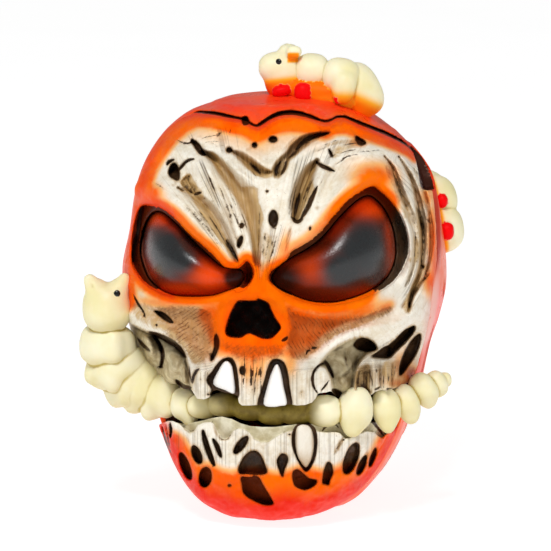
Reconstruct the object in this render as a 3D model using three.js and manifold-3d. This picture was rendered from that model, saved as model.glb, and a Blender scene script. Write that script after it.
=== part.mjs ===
// Skull ornament for Halloween: a hollow cast-resin skull in three castings
// (face, rear hood and lower jaw), lit smoky eyes, inset teeth, three grubs
// glued on, and a plastic base with a button-cell box, a hinged door and a
// slide switch.
//
// Millimetres. +Z up, the face looks along -Y, +X is the viewer's right.
// The work is laid out in skull coordinates, with the skull's axis near x = 0,
// and the whole group is then shifted so that the origin is the middle of the
// footprint box on the table.
import * as THREE from 'three';
import { mergeVertices } from 'three/addons/utils/BufferGeometryUtils.js';
import Module from 'manifold-3d';

const wasm = await Module();
wasm.setup();

// ---------------------------------------------------------------- dimensions
// Skull surface: z, half width, front y, back y, y of the widest point, x of the middle
const SKULL_ROWS = [
  [137.6, 0.0, 2.0, 2.0, 2.0, 0.0],
  [137.1, 11.0, -10.0, 15.0, 2.0, 0.0],
  [135.7, 19.5, -18.0, 24.5, 2.0, 0.0],
  [132.4, 28.0, -27.0, 33.5, 2.0, 0.0],
  [127.4, 35.2, -35.0, 41.5, 2.0, 0.0],
  [121.0, 41.0, -41.5, 47.5, 2.0, 0.0],
  [113.0, 45.8, -46.5, 52.0, 2.0, 0.0],
  [104.0, 49.0, -49.7, 55.0, 2.0, 0.0],
  [94.0, 51.2, -51.4, 57.0, 2.0, 0.0],
  [83.0, 52.5, -52.0, 58.0, 2.0, 0.0],
  [73.0, 52.5, -52.3, 57.8, 2.0, 0.0],
  [64.0, 51.3, -52.5, 57.2, 2.0, 0.0],
  [56.0, 49.2, -52.5, 56.4, 2.2, 0.0],
  [49.0, 47.0, -52.0, 55.8, 2.5, 0.0],
  [42.0, 44.8, -51.2, 55.3, 3.0, 0.0],
  [35.5, 42.8, -50.2, 54.9, 3.6, -0.2],
  [29.0, 40.8, -49.0, 54.5, 4.4, -0.5],
  [22.5, 38.4, -47.3, 54.0, 5.3, -0.8],
  [16.0, 35.4, -44.8, 53.4, 6.3, -1.2],
  [10.0, 31.8, -41.0, 52.6, 7.3, -1.7],
  [5.0, 27.4, -35.5, 51.6, 8.2, -2.2],
  [1.5, 22.4, -29.0, 50.4, 9.2, -2.6],
  [0.0, 19.4, -25.0, 49.0, 10.0, -2.8],
  [-2.5, 12.0, -16.0, 40.0, 10.0, -2.8],
  [-4.0, 0.0, 10.0, 10.0, 10.0, -2.8],
];
const SECTION_POWER = 2.25;         // superellipse power of every level section
const AROUND = 24;                  // facets round the skull
const LEVELS = [137.6, 135.9, 131, 122, 109, 94, 79, 64, 50, 37, 24, 13, 5.5, 1.5, -1.5, -4];

const WALL = 3.2;                   // cast wall
const GAP = 0.4;                    // clearance between glued castings
const BOTTOM = 1.3;                 // the castings stop this far above the table
const PART_Y = -8.0;                // parting face, lower part: upright
const PART_Z = 75.0;                // above this it leans forward
const PART_LEAN = 0.34;             // mm forward per mm up
const FACE_BOTTOM = 43.2;           // upper edge of the open mouth
const JAW_TOP = 33.0;               // lower edge of the open mouth
const PALATE = [48.0, 50.5];        // shelf closing the face above the mouth
const JAW_DECK = [28.5, 31.0];      // shelf closing the jaw below the mouth

// Eye sockets, outlines x, z on the skull surface
const EYE_LEFT = [[-44.8, 90], [-45, 97.6], [-41.9, 105.3], [-33.5, 105.5], [-27.3, 102], [-19.7, 96.5], [-13.4, 91.9], [-8.3, 89], [-2.1, 88], [-1.1, 84.8], [-10.3, 80.2], [-17.8, 78.7], [-26.7, 77.8], [-34.4, 78.9], [-40.9, 82.8]];
const EYE_RIGHT = [[4.7, 86], [10.1, 91.5], [17.8, 95.3], [22.2, 99.8], [26.4, 105.2], [30.4, 110.1], [34.3, 112.6], [38.5, 110.8], [42.1, 105.4], [44.6, 98.8], [45.6, 92.4], [44.3, 87.1], [41.2, 82.9], [36.3, 79.8], [30, 77.8], [22.5, 77.6], [14.9, 79.7]];
const EYE_TILT = THREE.MathUtils.degToRad(27);
const EYE_CUP_DEPTH = 10.0;
const EYE_CUP_WALL = 2.0;
const EYE_GAP = 0.4;
const LED_R = 2.5;
const LED_HOLE_R = 3.0;
const LED_HOLDER_R = 5.0;
const LED_HOLDER_LENGTH = 8.0;
// Nose opening, outline x, z
const NOSE = [[-5.3, 78.5], [2.2, 79.1], [5.7, 77.6], [7.4, 73.5], [9.0, 70.3], [7.1, 67.0], [2.9, 66.3], [-1.0, 68.1], [-4.9, 66.6], [-8.9, 67.4], [-8.2, 72.3]];
const NOSE_DEPTH = 9.0;
// Inset teeth, outlines x, z, and the y of their faces
const TOOTH_UPPER_LEFT = [[-9.6, 57.4], [-7.7, 56.4], [-6.7, 52.0], [-6.3, 48.0], [-9.6, 48.6], [-13.6, 50.6], [-12.0, 54.2]];
const TOOTH_UPPER_RIGHT = [[7.3, 56.8], [8.6, 54.6], [9.9, 47.6], [10.5, 45.2], [5.6, 44.6], [2.7, 45.6], [4.4, 50.8], [5.7, 55.2]];
const TOOTH_LOWER = [[12.4, 34.0], [14.6, 34.9], [17.5, 33.4], [18.9, 28.8], [18.0, 24.2], [15.8, 21.0], [13.9, 23.4], [12.0, 27.2], [11.6, 31.0]];
const TOOTH_DEPTH = 2.2;
const TOOTH_PROUD = 0.7;

// Grubs: x, y, z, radius of each ring of the body
const MOUTH_GRUB = [
  [-54.0, -27.0, 70.2, 8.0], [-53.9, -25.0, 56.6, 8.4], [-52.6, -23.8, 48.0, 8.4], [-47.0, -23.0, 43.3, 8.7],
  [-41.0, -24.8, 41.6, 8.4], [-33.6, -29.0, 40.8, 8.0], [-24.6, -35.0, 40.6, 6.7], [-17.0, -39.0, 41.5, 5.6],
  [-9.1, -40.0, 42.3, 5.5], [0.5, -40.5, 41.9, 5.5], [9.7, -40.5, 41.2, 5.5], [17.6, -40.5, 41.2, 5.5],
  [24.4, -40.0, 41.1, 5.8], [31.3, -36.5, 40.6, 7.6], [39.1, -26.0, 39.1, 7.3], [44.9, -19.0, 40.2, 6.3],
  [49.4, -14.0, 42.0, 5.0], [53.4, -10.0, 44.3, 3.4], [56.6, -7.0, 45.8, 2.0],
];
const CROWN_GRUB = [
  [-1.9, 2.5, 147.3, 6.8], [8.3, 3.0, 144.2, 7.5], [17.6, 3.0, 143.3, 7.2], [25.0, 4.0, 140.4, 7.7],
  [-1.0, -1.5, 140.8, 2.8], [6.2, -2.0, 140.0, 2.8], [14.5, -2.0, 139.2, 2.6],
];
const SIDE_GRUB = [
  [48.6, 27.0, 90.1, 7.6], [46.8, 29.5, 102.6, 7.0], [42.0, 38.5, 103.2, 7.1], [34.5, 46.5, 101.6, 7.2], [25.0, 52.5, 101.0, 7.6],
];

// Base
const BASE_X = -2.4;                // middle of the base hardware
const BASE_Y = 10.0;
const PLATE_HALF_WIDTH = 19.0;
const PLATE_FRONT = 33.6;
const PLATE_BACK = 34.0;
const PLATE = [1.6, 5.6];
const DOOR = [1.8, 3.8];
const DOOR_HALF_WIDTH = 7.9;
const DOOR_Y = [-4.5, 26.4];
const HINGE = [25.2, 3.0];          // y, z of the door hinge
const HINGE_PIN_R = 0.8;
const DOOR_SCREW_Y = -1.0;
const BOX = [5.9, 18.0];
const CELL_R = 5.8;
const CELL_H = 5.4;
const CELL_Z = 10.3;
const SWITCH_Y = -13.0;
const SWITCH_TRAVEL = 2.5;
const SCREWS = {
  base_screw_front: [0, -19.2], base_screw_left_front: [-14.6, 11.5], base_screw_right_front: [14.6, 11.5],
  base_screw_left_rear: [-11.6, 31.0], base_screw_right_rear: [11.6, 31.0],
};
const PADS = [[-12, -9.6], [12, -9.6], [-13.4, 21.5], [13.4, 21.5]];
const PAD_R = 3.4;

// Shift from skull coordinates to the part's frame: middle of the footprint box
const SHIFT = [1.69, -3.8, 0];

// ------------------------------------------------------------------- helpers
function solid(geometry) {
  const g = geometry.clone();
  for (const name of Object.keys(g.attributes)) if (name !== 'position') g.deleteAttribute(name);
  const m = mergeVertices(g, 1e-4);
  return new wasm.Manifold(new wasm.Mesh({
    numProp: 3,
    vertProperties: new Float32Array(m.attributes.position.array),
    triVerts: new Uint32Array(m.index.array),
  }));
}
function geometryOf(manifold) {
  const mesh = manifold.getMesh();
  const g = new THREE.BufferGeometry();
  g.setAttribute('position', new THREE.BufferAttribute(new Float32Array(mesh.vertProperties), 3));
  g.setIndex(new THREE.BufferAttribute(new Uint32Array(mesh.triVerts), 1));
  g.computeVertexNormals();
  return g;
}
const union = (...list) => list.reduce((a, b) => a.add(b));
const box = (x0, x1, y0, y1, z0, z1) => solid(new THREE.BoxGeometry(x1 - x0, y1 - y0, z1 - z0).translate((x0 + x1) / 2, (y0 + y1) / 2, (z0 + z1) / 2));
const cylZ = (x, y, z0, z1, r, n = 16) => solid(new THREE.CylinderGeometry(r, r, z1 - z0, n).rotateX(Math.PI / 2).translate(x, y, (z0 + z1) / 2));
const cylX = (x0, x1, y, z, r, n = 12) => solid(new THREE.CylinderGeometry(r, r, x1 - x0, n).rotateZ(Math.PI / 2).translate((x0 + x1) / 2, y, z));
const ball = (x, y, z, r, n = 10, m = 8) => solid(new THREE.SphereGeometry(r, n, m).translate(x, y, z));
const shapeOf = (points) => new THREE.Shape(points.map(([a, b]) => new THREE.Vector2(a, b)));
// outline x, z carried along Y
function prismYGeometry(points, yFront, yBack) {
  return new THREE.ExtrudeGeometry(shapeOf(points), { depth: yBack - yFront, bevelEnabled: false })
    .rotateX(Math.PI / 2).translate(0, yBack, 0);
}
const prismY = (points, yFront, yBack) => solid(prismYGeometry(points, yFront, yBack));
// outline x, y carried along Z
const prismZ = (points, z0, z1) => solid(new THREE.ExtrudeGeometry(shapeOf(points), { depth: z1 - z0, bevelEnabled: false }).translate(0, 0, z0));
// outline y, z carried along X
const TO_X = new THREE.Matrix4().makeBasis(new THREE.Vector3(0, 1, 0), new THREE.Vector3(0, 0, 1), new THREE.Vector3(1, 0, 0));
const prismX = (points, x0, x1) => solid(new THREE.ExtrudeGeometry(shapeOf(points), { depth: x1 - x0, bevelEnabled: false })
  .translate(0, 0, x0).applyMatrix4(TO_X));
function signedArea(points) {
  let a = 0;
  points.forEach((p, i) => { const q = points[(i + 1) % points.length]; a += p[0] * q[1] - q[0] * p[1]; });
  return a / 2;
}
// outline moved outward by d
function grow(points, d) {
  const s = signedArea(points) > 0 ? 1 : -1;
  const n = points.length;
  return points.map((p, i) => {
    const a = points[(i + n - 1) % n], b = points[(i + 1) % n];
    const e1 = new THREE.Vector2(p[0] - a[0], p[1] - a[1]).normalize();
    const e2 = new THREE.Vector2(b[0] - p[0], b[1] - p[1]).normalize();
    const n1 = new THREE.Vector2(e1.y * s, -e1.x * s), n2 = new THREE.Vector2(e2.y * s, -e2.x * s);
    const m = n1.clone().add(n2).normalize();
    const k = Math.min(1 / Math.max(m.dot(n1), 0.45), 1.8);
    return [p[0] + m.x * d * k, p[1] + m.y * d * k];
  });
}
const tube = (points, r, steps, sides = 8) => {
  const path = new THREE.CatmullRomCurve3(points.map((p) => new THREE.Vector3(...p)), false, 'centripetal');
  const ring = [];
  for (let i = 0; i < sides; i++) ring.push([r * Math.cos((2 * Math.PI * i) / sides), r * Math.sin((2 * Math.PI * i) / sides)]);
  return solid(new THREE.ExtrudeGeometry(shapeOf(ring), { steps, extrudePath: path, bevelEnabled: false }));
};

// Skull surface table, smoothed between its rows
const FINE = [];
{
  const n = SKULL_ROWS.length;
  const row = (i) => i < 0 ? SKULL_ROWS[0].map((v, k) => 2 * v - SKULL_ROWS[1][k])
    : i >= n ? SKULL_ROWS[n - 1].map((v, k) => 2 * v - SKULL_ROWS[n - 2][k]) : SKULL_ROWS[i];
  for (let i = 0; i < n - 1; i++) {
    for (let s = 0; s < 12; s++) {
      const t = s / 12;
      const [p0, p1, p2, p3] = [row(i - 1), row(i), row(i + 1), row(i + 2)];
      FINE.push(p1.map((_, k) => 0.5 * (2 * p1[k] + (p2[k] - p0[k]) * t + (2 * p0[k] - 5 * p1[k] + 4 * p2[k] - p3[k]) * t * t
        + (3 * p1[k] - p0[k] - 3 * p2[k] + p3[k]) * t * t * t)));
    }
  }
  FINE.push(SKULL_ROWS[n - 1]);
}
function section(z) {
  if (z >= FINE[0][0]) return FINE[0];
  for (let i = 1; i < FINE.length; i++) {
    if (z >= FINE[i][0]) {
      const t = (z - FINE[i][0]) / (FINE[i - 1][0] - FINE[i][0]);
      return FINE[i].map((v, k) => v + t * (FINE[i - 1][k] - v));
    }
  }
  return FINE[FINE.length - 1];
}
function skullPoint(z, angle) {
  const [, a, yf, yb, yc, xc] = section(z);
  const c = -Math.cos(angle), s = -Math.sin(angle);
  const b = s < 0 ? yc - yf : yb - yc;
  const e = 2 / SECTION_POWER;
  return new THREE.Vector3(xc + Math.max(a, 0) * Math.sign(c) * Math.abs(c) ** e, yc + b * Math.sign(s) * Math.abs(s) ** e, z);
}
function frontY(x, z) {
  const [, a, yf, , yc, xc] = section(z);
  const t = Math.min(Math.abs((x - xc) / a), 1);
  return yc - (yc - yf) * (1 - t ** SECTION_POWER) ** (1 / SECTION_POWER);
}
// Skull surface moved inward by d: a sphere grid pulled onto the level sections
function skull(d) {
  const rows = LEVELS.length - 1;
  const g = new THREE.SphereGeometry(1, AROUND, rows);
  const pos = g.attributes.position;
  for (let j = 0; j <= rows; j++) {
    for (let i = 0; i <= AROUND; i++) {
      const angle = (2 * Math.PI * (i % AROUND)) / AROUND;
      const z = LEVELS[j];
      const p = skullPoint(z, angle);
      if (j === 0) p.z -= d;
      else if (j === rows) p.z += d;
      else if (d > 0) {
        const dz = skullPoint(z + 0.35, angle).sub(skullPoint(z - 0.35, angle));
        const da = skullPoint(z, angle + 0.02).sub(skullPoint(z, angle - 0.02));
        const n = dz.cross(da).normalize();
        const out = new THREE.Vector3(p.x - section(z)[5], p.y - section(z)[4], 0);
        if (n.dot(out) < 0) n.negate();
        p.addScaledVector(n, -d);
      }
      pos.setXYZ(j * (AROUND + 1) + i, p.x, p.y, p.z);
    }
  }
  return solid(g);
}

// ----------------------------------------------------------------- castings
const outer = skull(0);
const inner = skull(WALL);
const wall = outer.subtract(inner);

// the parting face, moved back by d
const parting = (z, d) => (z > PART_Z ? PART_Y - PART_LEAN * (z - PART_Z) : PART_Y) + d;
const frontOf = (d, z0 = -12) => prismX([[-90, z0], [parting(z0, d), z0], [parting(PART_Z, d), PART_Z], [parting(175, d), 175], [-90, 175]], -90, 90);
const behind = (d) => prismX([[parting(-12, d), -12], [90, -12], [90, 175], [parting(175, d), 175], [parting(PART_Z, d), PART_Z]], -90, 90);

const grub = (rings, extra, n = 8, m = 5) => union(...rings.map(([x, y, z, r]) => ball(x, y, z, r + extra, n, m)));
const mouthGrubBody = (e) => union(
  grub(MOUTH_GRUB, e),
  ball(-58.5, -29.5, 77.1, 2.9 + e, 8, 6), ball(-48.5, -29.0, 77.5, 2.9 + e, 8, 6),
);
const crownGrubBody = (e) => union(grub(CROWN_GRUB, e), ball(0.6, -0.6, 152.4, 2.7 + e, 8, 6), ball(-3.4, 5.8, 152.6, 2.7 + e, 8, 6));
const sideGrubBody = (e) => union(grub(SIDE_GRUB, e), ball(27.8, 55.0, 108.0, 2.5 + e, 8, 6), ball(21.0, 57.2, 107.6, 2.5 + e, 8, 6));
const mouthGrubRoom = mouthGrubBody(0.4);
const crownGrubRoom = crownGrubBody(0.4);
const sideGrubRoom = sideGrubBody(0.4);

function plateOutline(extra, n = 28) {
  const out = [];
  for (let i = 0; i < n; i++) {
    const t = (2 * Math.PI * i) / n, c = Math.cos(t), s = Math.sin(t), e = 2 / SECTION_POWER;
    const b = s < 0 ? PLATE_FRONT : PLATE_BACK;
    out.push([BASE_X + (PLATE_HALF_WIDTH + extra) * Math.sign(c) * Math.abs(c) ** e, BASE_Y + (b + extra) * Math.sign(s) * Math.abs(s) ** e]);
  }
  return out;
}
const baseOpening = prismZ(plateOutline(GAP), -12, 5.9);
const aboveTable = box(-90, 90, -90, 90, BOTTOM, 175);

// eye sockets: each outline seen along the tilted axis of its eye
function eyeFrame(outline, side) {
  const pts = outline.map(([x, z]) => new THREE.Vector3(x, frontY(x, z), z));
  const middle = pts.reduce((a, p) => a.add(p), new THREE.Vector3()).multiplyScalar(1 / pts.length);
  const matrix = new THREE.Matrix4().makeRotationZ(side * EYE_TILT).setPosition(middle);
  const back = matrix.clone().invert();
  const local = pts.map((p) => p.clone().applyMatrix4(back));
  const flat = local.map((p) => [p.x, p.z]);
  const xs = flat.map((p) => p[0]), zs = flat.map((p) => p[1]);
  return {
    matrix, flat,
    cx: (Math.min(...xs) + Math.max(...xs)) / 2, cz: (Math.min(...zs) + Math.max(...zs)) / 2,
    rx: (Math.max(...xs) - Math.min(...xs)) / 2, rz: (Math.max(...zs) - Math.min(...zs)) / 2,
  };
}
const eyes = { left: eyeFrame(EYE_LEFT, -1), right: eyeFrame(EYE_RIGHT, 1) };
const local = (eye, geometry) => solid(geometry.applyMatrix4(eye.matrix));
const localCyl = (eye, r, y0, y1, n = 16) => local(eye, new THREE.CylinderGeometry(r, r, y1 - y0, n).translate(eye.cx, (y0 + y1) / 2, eye.cz));

const skullInside = skull(0.6);
let face = wall.intersect(frontOf(0)).intersect(box(-90, 90, -90, 90, FACE_BOTTOM, 175));
face = face.add(skull(WALL - 0.8).intersect(frontOf(0)).intersect(box(-90, 90, -90, 90, PALATE[0], PALATE[1])));
for (const eye of Object.values(eyes)) {
  const cup = local(eye, prismYGeometry(grow(eye.flat, EYE_CUP_WALL), -40, EYE_CUP_DEPTH + EYE_CUP_WALL));
  face = face.add(cup.intersect(skullInside).intersect(frontOf(0)));
}
for (const eye of Object.values(eyes)) {
  face = face.subtract(local(eye, prismYGeometry(eye.flat, -60, EYE_CUP_DEPTH)));
  face = face.subtract(localCyl(eye, LED_HOLE_R, EYE_CUP_DEPTH - 3, EYE_CUP_DEPTH + 6));
}
{
  const y = frontY(0, 72);
  face = face.add(prismY(grow(NOSE, 1.8), y + 1.5, y + NOSE_DEPTH + 2));
  face = face.subtract(prismY(NOSE, y - 20, y + NOSE_DEPTH));
}
const toothY = (outline) => {
  const x = outline.reduce((a, p) => a + p[0], 0) / outline.length, z = outline.reduce((a, p) => a + p[1], 0) / outline.length;
  return frontY(x, z);
};
const tooth = (outline) => prismY(outline, toothY(outline) - TOOTH_PROUD, toothY(outline) + TOOTH_DEPTH - 0.35);
const toothRoom = (outline) => prismY(grow(outline, 0.4), toothY(outline) - 8, toothY(outline) + TOOTH_DEPTH);
face = face.subtract(toothRoom(TOOTH_UPPER_LEFT)).subtract(toothRoom(TOOTH_UPPER_RIGHT)).subtract(mouthGrubRoom);

// lower jaw, with its shelf and the front screw boss
const bossHole = (name) => cylZ(BASE_X + SCREWS[name][0], SCREWS[name][1], 4, 13.5, 1.5, 12);
const boss = (name) => cylZ(BASE_X + SCREWS[name][0], SCREWS[name][1], 6.0, 16, 3.2, 14);
let jaw = wall.intersect(frontOf(0)).intersect(box(-90, 90, -90, 90, BOTTOM, JAW_TOP));
jaw = jaw.add(skull(WALL - 0.8).intersect(frontOf(0)).intersect(box(-90, 90, -90, 90, JAW_DECK[0], JAW_DECK[1])));
{
  const [bx, by] = SCREWS.base_screw_front;
  const rib = box(BASE_X + bx - 1.2, BASE_X + bx + 1.2, -60, by - 1.8, 6.0, 15).intersect(skull(WALL - 0.8));
  jaw = jaw.add(boss('base_screw_front')).add(rib).subtract(bossHole('base_screw_front'));
}
jaw = jaw.subtract(baseOpening).subtract(toothRoom(TOOTH_LOWER)).subtract(mouthGrubRoom);

// rear hood: back of the skull, a locating lip inside the face, the wall behind the mouth and four screw bosses
let hood = wall.intersect(behind(GAP)).intersect(aboveTable);
{
  const lipBand = skull(WALL + 0.5).subtract(skull(WALL + 2.3));
  const foot = skull(WALL - 0.6).subtract(skull(WALL + 2.3));
  const zones = box(-90, 90, -90, 90, 117, 175);
  const lip = lipBand.intersect(frontOf(2.5)).intersect(behind(-4)).add(foot.intersect(behind(GAP)).intersect(frontOf(3)));
  hood = hood.add(lip.intersect(zones));
  hood = hood.add(skull(WALL - 0.8).intersect(box(-90, 90, PART_Y + GAP, PART_Y + GAP + 2.4, 26, 52)));
  for (const name of Object.keys(SCREWS)) {
    if (name === 'base_screw_front') continue;
    const [bx, by] = SCREWS[name];
    const side = Math.sign(bx);
    const rib = (side < 0 ? box(-60, BASE_X + bx - 1.8, by - 1.2, by + 1.2, 6.0, 15) : box(BASE_X + bx + 1.8, 60, by - 1.2, by + 1.2, 6.0, 15)).intersect(skull(WALL - 0.8));
    hood = hood.add(boss(name)).add(rib).subtract(bossHole(name));
  }
}
hood = hood.subtract(baseOpening).subtract(mouthGrubRoom).subtract(crownGrubRoom).subtract(sideGrubRoom);

// ---------------------------------------------------------- eyes and lights
const eyeDome = (eye) => {
  const shell = (k) => new THREE.SphereGeometry(1, 14, 8).scale(eye.rx * 1.1 * k, 12.5 * k, eye.rz * 1.14 * k).translate(eye.cx, 10.0, eye.cz);
  const seat = local(eye, prismYGeometry(grow(eye.flat, -EYE_GAP), -30, EYE_CUP_DEPTH - 0.35));
  return local(eye, shell(1)).subtract(local(eye, shell(0.84))).intersect(seat);
};
const led = (eye) => {
  const y1 = EYE_CUP_DEPTH + EYE_CUP_WALL + LED_HOLDER_LENGTH + 0.3;
  const profile = [[0, -4.2], [1.25, -3.85], [2.15, -2.95], [LED_R, -1.7], [LED_R, 4.6], [2.8, 4.6], [2.8, 5.7], [0, 5.7]].map(([r, y]) => new THREE.Vector2(r, y));
  return local(eye, new THREE.LatheGeometry(profile, 16).translate(eye.cx, y1 - 6.2, eye.cz));
};
const ledHolder = (eye) => {
  const y0 = EYE_CUP_DEPTH + EYE_CUP_WALL + 0.3;
  const back = y0 + LED_HOLDER_LENGTH;
  return localCyl(eye, LED_HOLDER_R, y0, back).subtract(localCyl(eye, 3.15, y0 - 1, back + 1));
};
const ledLead = (eye, side) => {
  const start = new THREE.Vector3(eye.cx, EYE_CUP_DEPTH + EYE_CUP_WALL + LED_HOLDER_LENGTH + 0.3, eye.cz).applyMatrix4(eye.matrix);
  const out = new THREE.Vector3(0, 1, 0).transformDirection(eye.matrix);
  const p = (k) => start.clone().addScaledVector(out, k).toArray();
  return tube([p(0), p(6), [side * 16, 4, 72], [side * 13, 8, 44], [side * 11 + BASE_X, 9, 26], [side * 5 + BASE_X, 12, 20.5], [side * 4.4 + BASE_X, 12.5, BOX[1] + 0.3]], 1.1, 18, 7);
};

// ---------------------------------------------------------------------- base
let plate = prismZ(plateOutline(0), PLATE[0], PLATE[1]);
plate = plate.subtract(box(BASE_X - DOOR_HALF_WIDTH - 0.35, BASE_X + DOOR_HALF_WIDTH + 0.35, DOOR_Y[0] - 0.35, DOOR_Y[1] + 0.9, 0, 8));
plate = plate.subtract(cylX(BASE_X - 10.2, BASE_X + 10.2, HINGE[0], HINGE[1], HINGE_PIN_R + 0.35));
plate = plate.subtract(box(BASE_X - 2.45, BASE_X + 2.45, SWITCH_Y - 1.2, SWITCH_Y + 1.2, 0, 8));
for (const [bx, by] of Object.values(SCREWS)) {
  plate = plate.subtract(cylZ(BASE_X + bx, by, 0, 3.6, 2.8, 12)).subtract(cylZ(BASE_X + bx, by, 0, 8, 1.5, 10));
}
const screw = (x, y, headR, head, shankR, top) => {
  const slot = (w, l) => box(x - w, x + w, y - l, y + l, head[0] - 1, head[0] + 0.6);
  return cylZ(x, y, head[0], head[1], headR, 12).add(cylZ(x, y, head[1] - 0.2, top, shankR, 8)).subtract(slot(0.35, headR * 0.7)).subtract(slot(headR * 0.7, 0.35));
};
let door = box(BASE_X - DOOR_HALF_WIDTH, BASE_X + DOOR_HALF_WIDTH, DOOR_Y[0], DOOR_Y[1], DOOR[0], DOOR[1]);
door = door.add(cylX(BASE_X - DOOR_HALF_WIDTH - 1.7, BASE_X + DOOR_HALF_WIDTH + 1.7, HINGE[0], HINGE[1], HINGE_PIN_R));
door = door.subtract(cylZ(BASE_X, DOOR_SCREW_Y, 0, 8, 1.5, 12)).subtract(cylZ(BASE_X, DOOR_SCREW_Y, 0, 3.1, 2.6, 16));
for (let k = 0; k < 3; k++) door = door.subtract(box(BASE_X - 4.5, BASE_X + 4.5, 4.2 + 2.2 * k, 5.2 + 2.2 * k, 0, DOOR[0] + 0.5));

let batteryBox = box(BASE_X - 8.1, BASE_X + 8.1, 1.9, 24.9, BOX[0], BOX[1]);
batteryBox = batteryBox.subtract(box(BASE_X - 6.6, BASE_X + 6.6, 3.4, 23.4, 0, BOX[1] - 1.5));
batteryBox = batteryBox.add(cylZ(BASE_X, DOOR_SCREW_Y, BOX[0], 10.5, 3.0, 16)).add(box(BASE_X - 2.2, BASE_X + 2.2, 1.0, 2.6, BOX[0], 10.5));
batteryBox = batteryBox.subtract(cylZ(BASE_X, DOOR_SCREW_Y, 0, 9.3, 1.9, 14));
const cell = (k) => {
  const y0 = 5.35 + k * (CELL_H + 0.3);
  const profile = [[0, 0], [4.6, 0], [4.6, 0.35], [5.4, 0.35], [CELL_R, 0.75], [CELL_R, CELL_H], [0, CELL_H]].map(([r, y]) => new THREE.Vector2(r, y));
  return solid(new THREE.LatheGeometry(profile, 18).translate(BASE_X, y0, CELL_Z));
};
const springPath = [];
for (let i = 0; i <= 30; i++) {
  const t = i / 30, a = 2 * Math.PI * 2.5 * t, r = 4.2 - 1.8 * t;
  springPath.push([BASE_X + r * Math.cos(a), 3.85 + 0.9 * t, CELL_Z + r * Math.sin(a)]);
}
const spring = tube(springPath, 0.25, 34, 5);
const contactPlate = box(BASE_X - 4.5, BASE_X + 4.5, 22.6, 23.1, 5.9, 15.4).add(box(BASE_X - 1.2, BASE_X + 1.2, 22.45, 22.8, 8.9, 11.7));

let switchBody = box(BASE_X - 4.3, BASE_X + 4.3, SWITCH_Y - 2.3, SWITCH_Y + 2.3, 5.9, 9.9);
switchBody = switchBody.subtract(box(BASE_X - 2.45, BASE_X + 2.45, SWITCH_Y - 1.2, SWITCH_Y + 1.2, 4, 8.4));
const sliderX = BASE_X - SWITCH_TRAVEL / 2;
let slider = box(sliderX - 0.8, sliderX + 0.8, SWITCH_Y - 0.8, SWITCH_Y + 0.8, 0.7, 8.0);
slider = slider.subtract(box(sliderX - 0.2, sliderX + 0.2, SWITCH_Y - 2, SWITCH_Y + 2, 0, 1.0));

// ------------------------------------------------------------------ assembly
const material = (color, roughness, metalness = 0, extra = {}) => new THREE.MeshStandardMaterial({ color, roughness, metalness, ...extra });
const LOOK = {
  bone: () => material(0xe9dfcd, 0.55), hood: () => material(0xf04a25, 0.4), jaw: () => material(0xe9bfa0, 0.5),
  eye: () => material(0x7a2a10, 0.12), tooth: () => material(0xfdfcf8, 0.3), grub: () => material(0xf0e6b8, 0.5),
  black: () => material(0x1c1c1e, 0.55), steel: () => material(0xb9bcc0, 0.3, 1.0), led: () => material(0xffb070, 0.15),
  pad: () => material(0x2a2a2c, 0.9), lead: () => material(0xb0201a, 0.5), white: () => material(0xeeeeea, 0.5),
};
const group = new THREE.Group();
function put(name, manifold, look) {
  const mesh = new THREE.Mesh(geometryOf(manifold), LOOK[look]());
  mesh.name = name;
  group.add(mesh);
}
put('face_shell', face, 'bone');
put('rear_shell', hood, 'hood');
put('lower_jaw', jaw, 'jaw');
for (const [side, eye] of Object.entries(eyes)) {
  put(`eye_dome_${side}`, eyeDome(eye), 'eye');
  put(`led_${side}`, led(eye), 'led');
  put(`led_holder_${side}`, ledHolder(eye), 'black');
  put(`led_lead_${side}`, ledLead(eye, side === 'left' ? -1 : 1), 'lead');
}
put('upper_tooth_left', tooth(TOOTH_UPPER_LEFT), 'tooth');
put('upper_tooth_right', tooth(TOOTH_UPPER_RIGHT), 'tooth');
put('lower_tooth', tooth(TOOTH_LOWER), 'tooth');
put('mouth_worm', mouthGrubBody(0), 'grub');
put('crown_worm', crownGrubBody(0), 'grub');
put('side_worm', sideGrubBody(0), 'grub');
put('base_plate', plate, 'black');
put('battery_box', batteryBox, 'black');
put('battery_door', door, 'black');
put('door_screw', screw(BASE_X, DOOR_SCREW_Y, 2.2, [1.95, 2.95], 1.15, 8.5), 'steel');
for (let k = 0; k < 3; k++) put(`button_cell_${k + 1}`, cell(k), 'steel');
put('contact_spring', spring, 'steel');
put('contact_plate', contactPlate, 'steel');
put('switch_body', switchBody, 'black');
put('switch_slider', slider, 'white');
put('switch_lead', tube([[BASE_X + 3, SWITCH_Y + 2.8, 7.8], [BASE_X + 3.2, SWITCH_Y + 3.8, 7.8], [BASE_X + 4.8, -7.2, 8.6], [BASE_X + 5.4, -3, 10], [BASE_X + 5.4, 1.6, 10.6]], 0.9, 8), 'lead');
for (const [name, [bx, by]] of Object.entries(SCREWS)) put(name, screw(BASE_X + bx, by, 2.4, [2.0, 3.3], 1.15, 12.5), 'steel');
PADS.forEach(([px, py], k) => put(`foot_pad_${k + 1}`, cylZ(BASE_X + px, py, 0, BOTTOM, PAD_R, 16), 'pad'));
group.position.set(...SHIFT);

export default group;
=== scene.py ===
import math

import bpy
import numpy as np
from mathutils import Matrix, Vector


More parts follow.
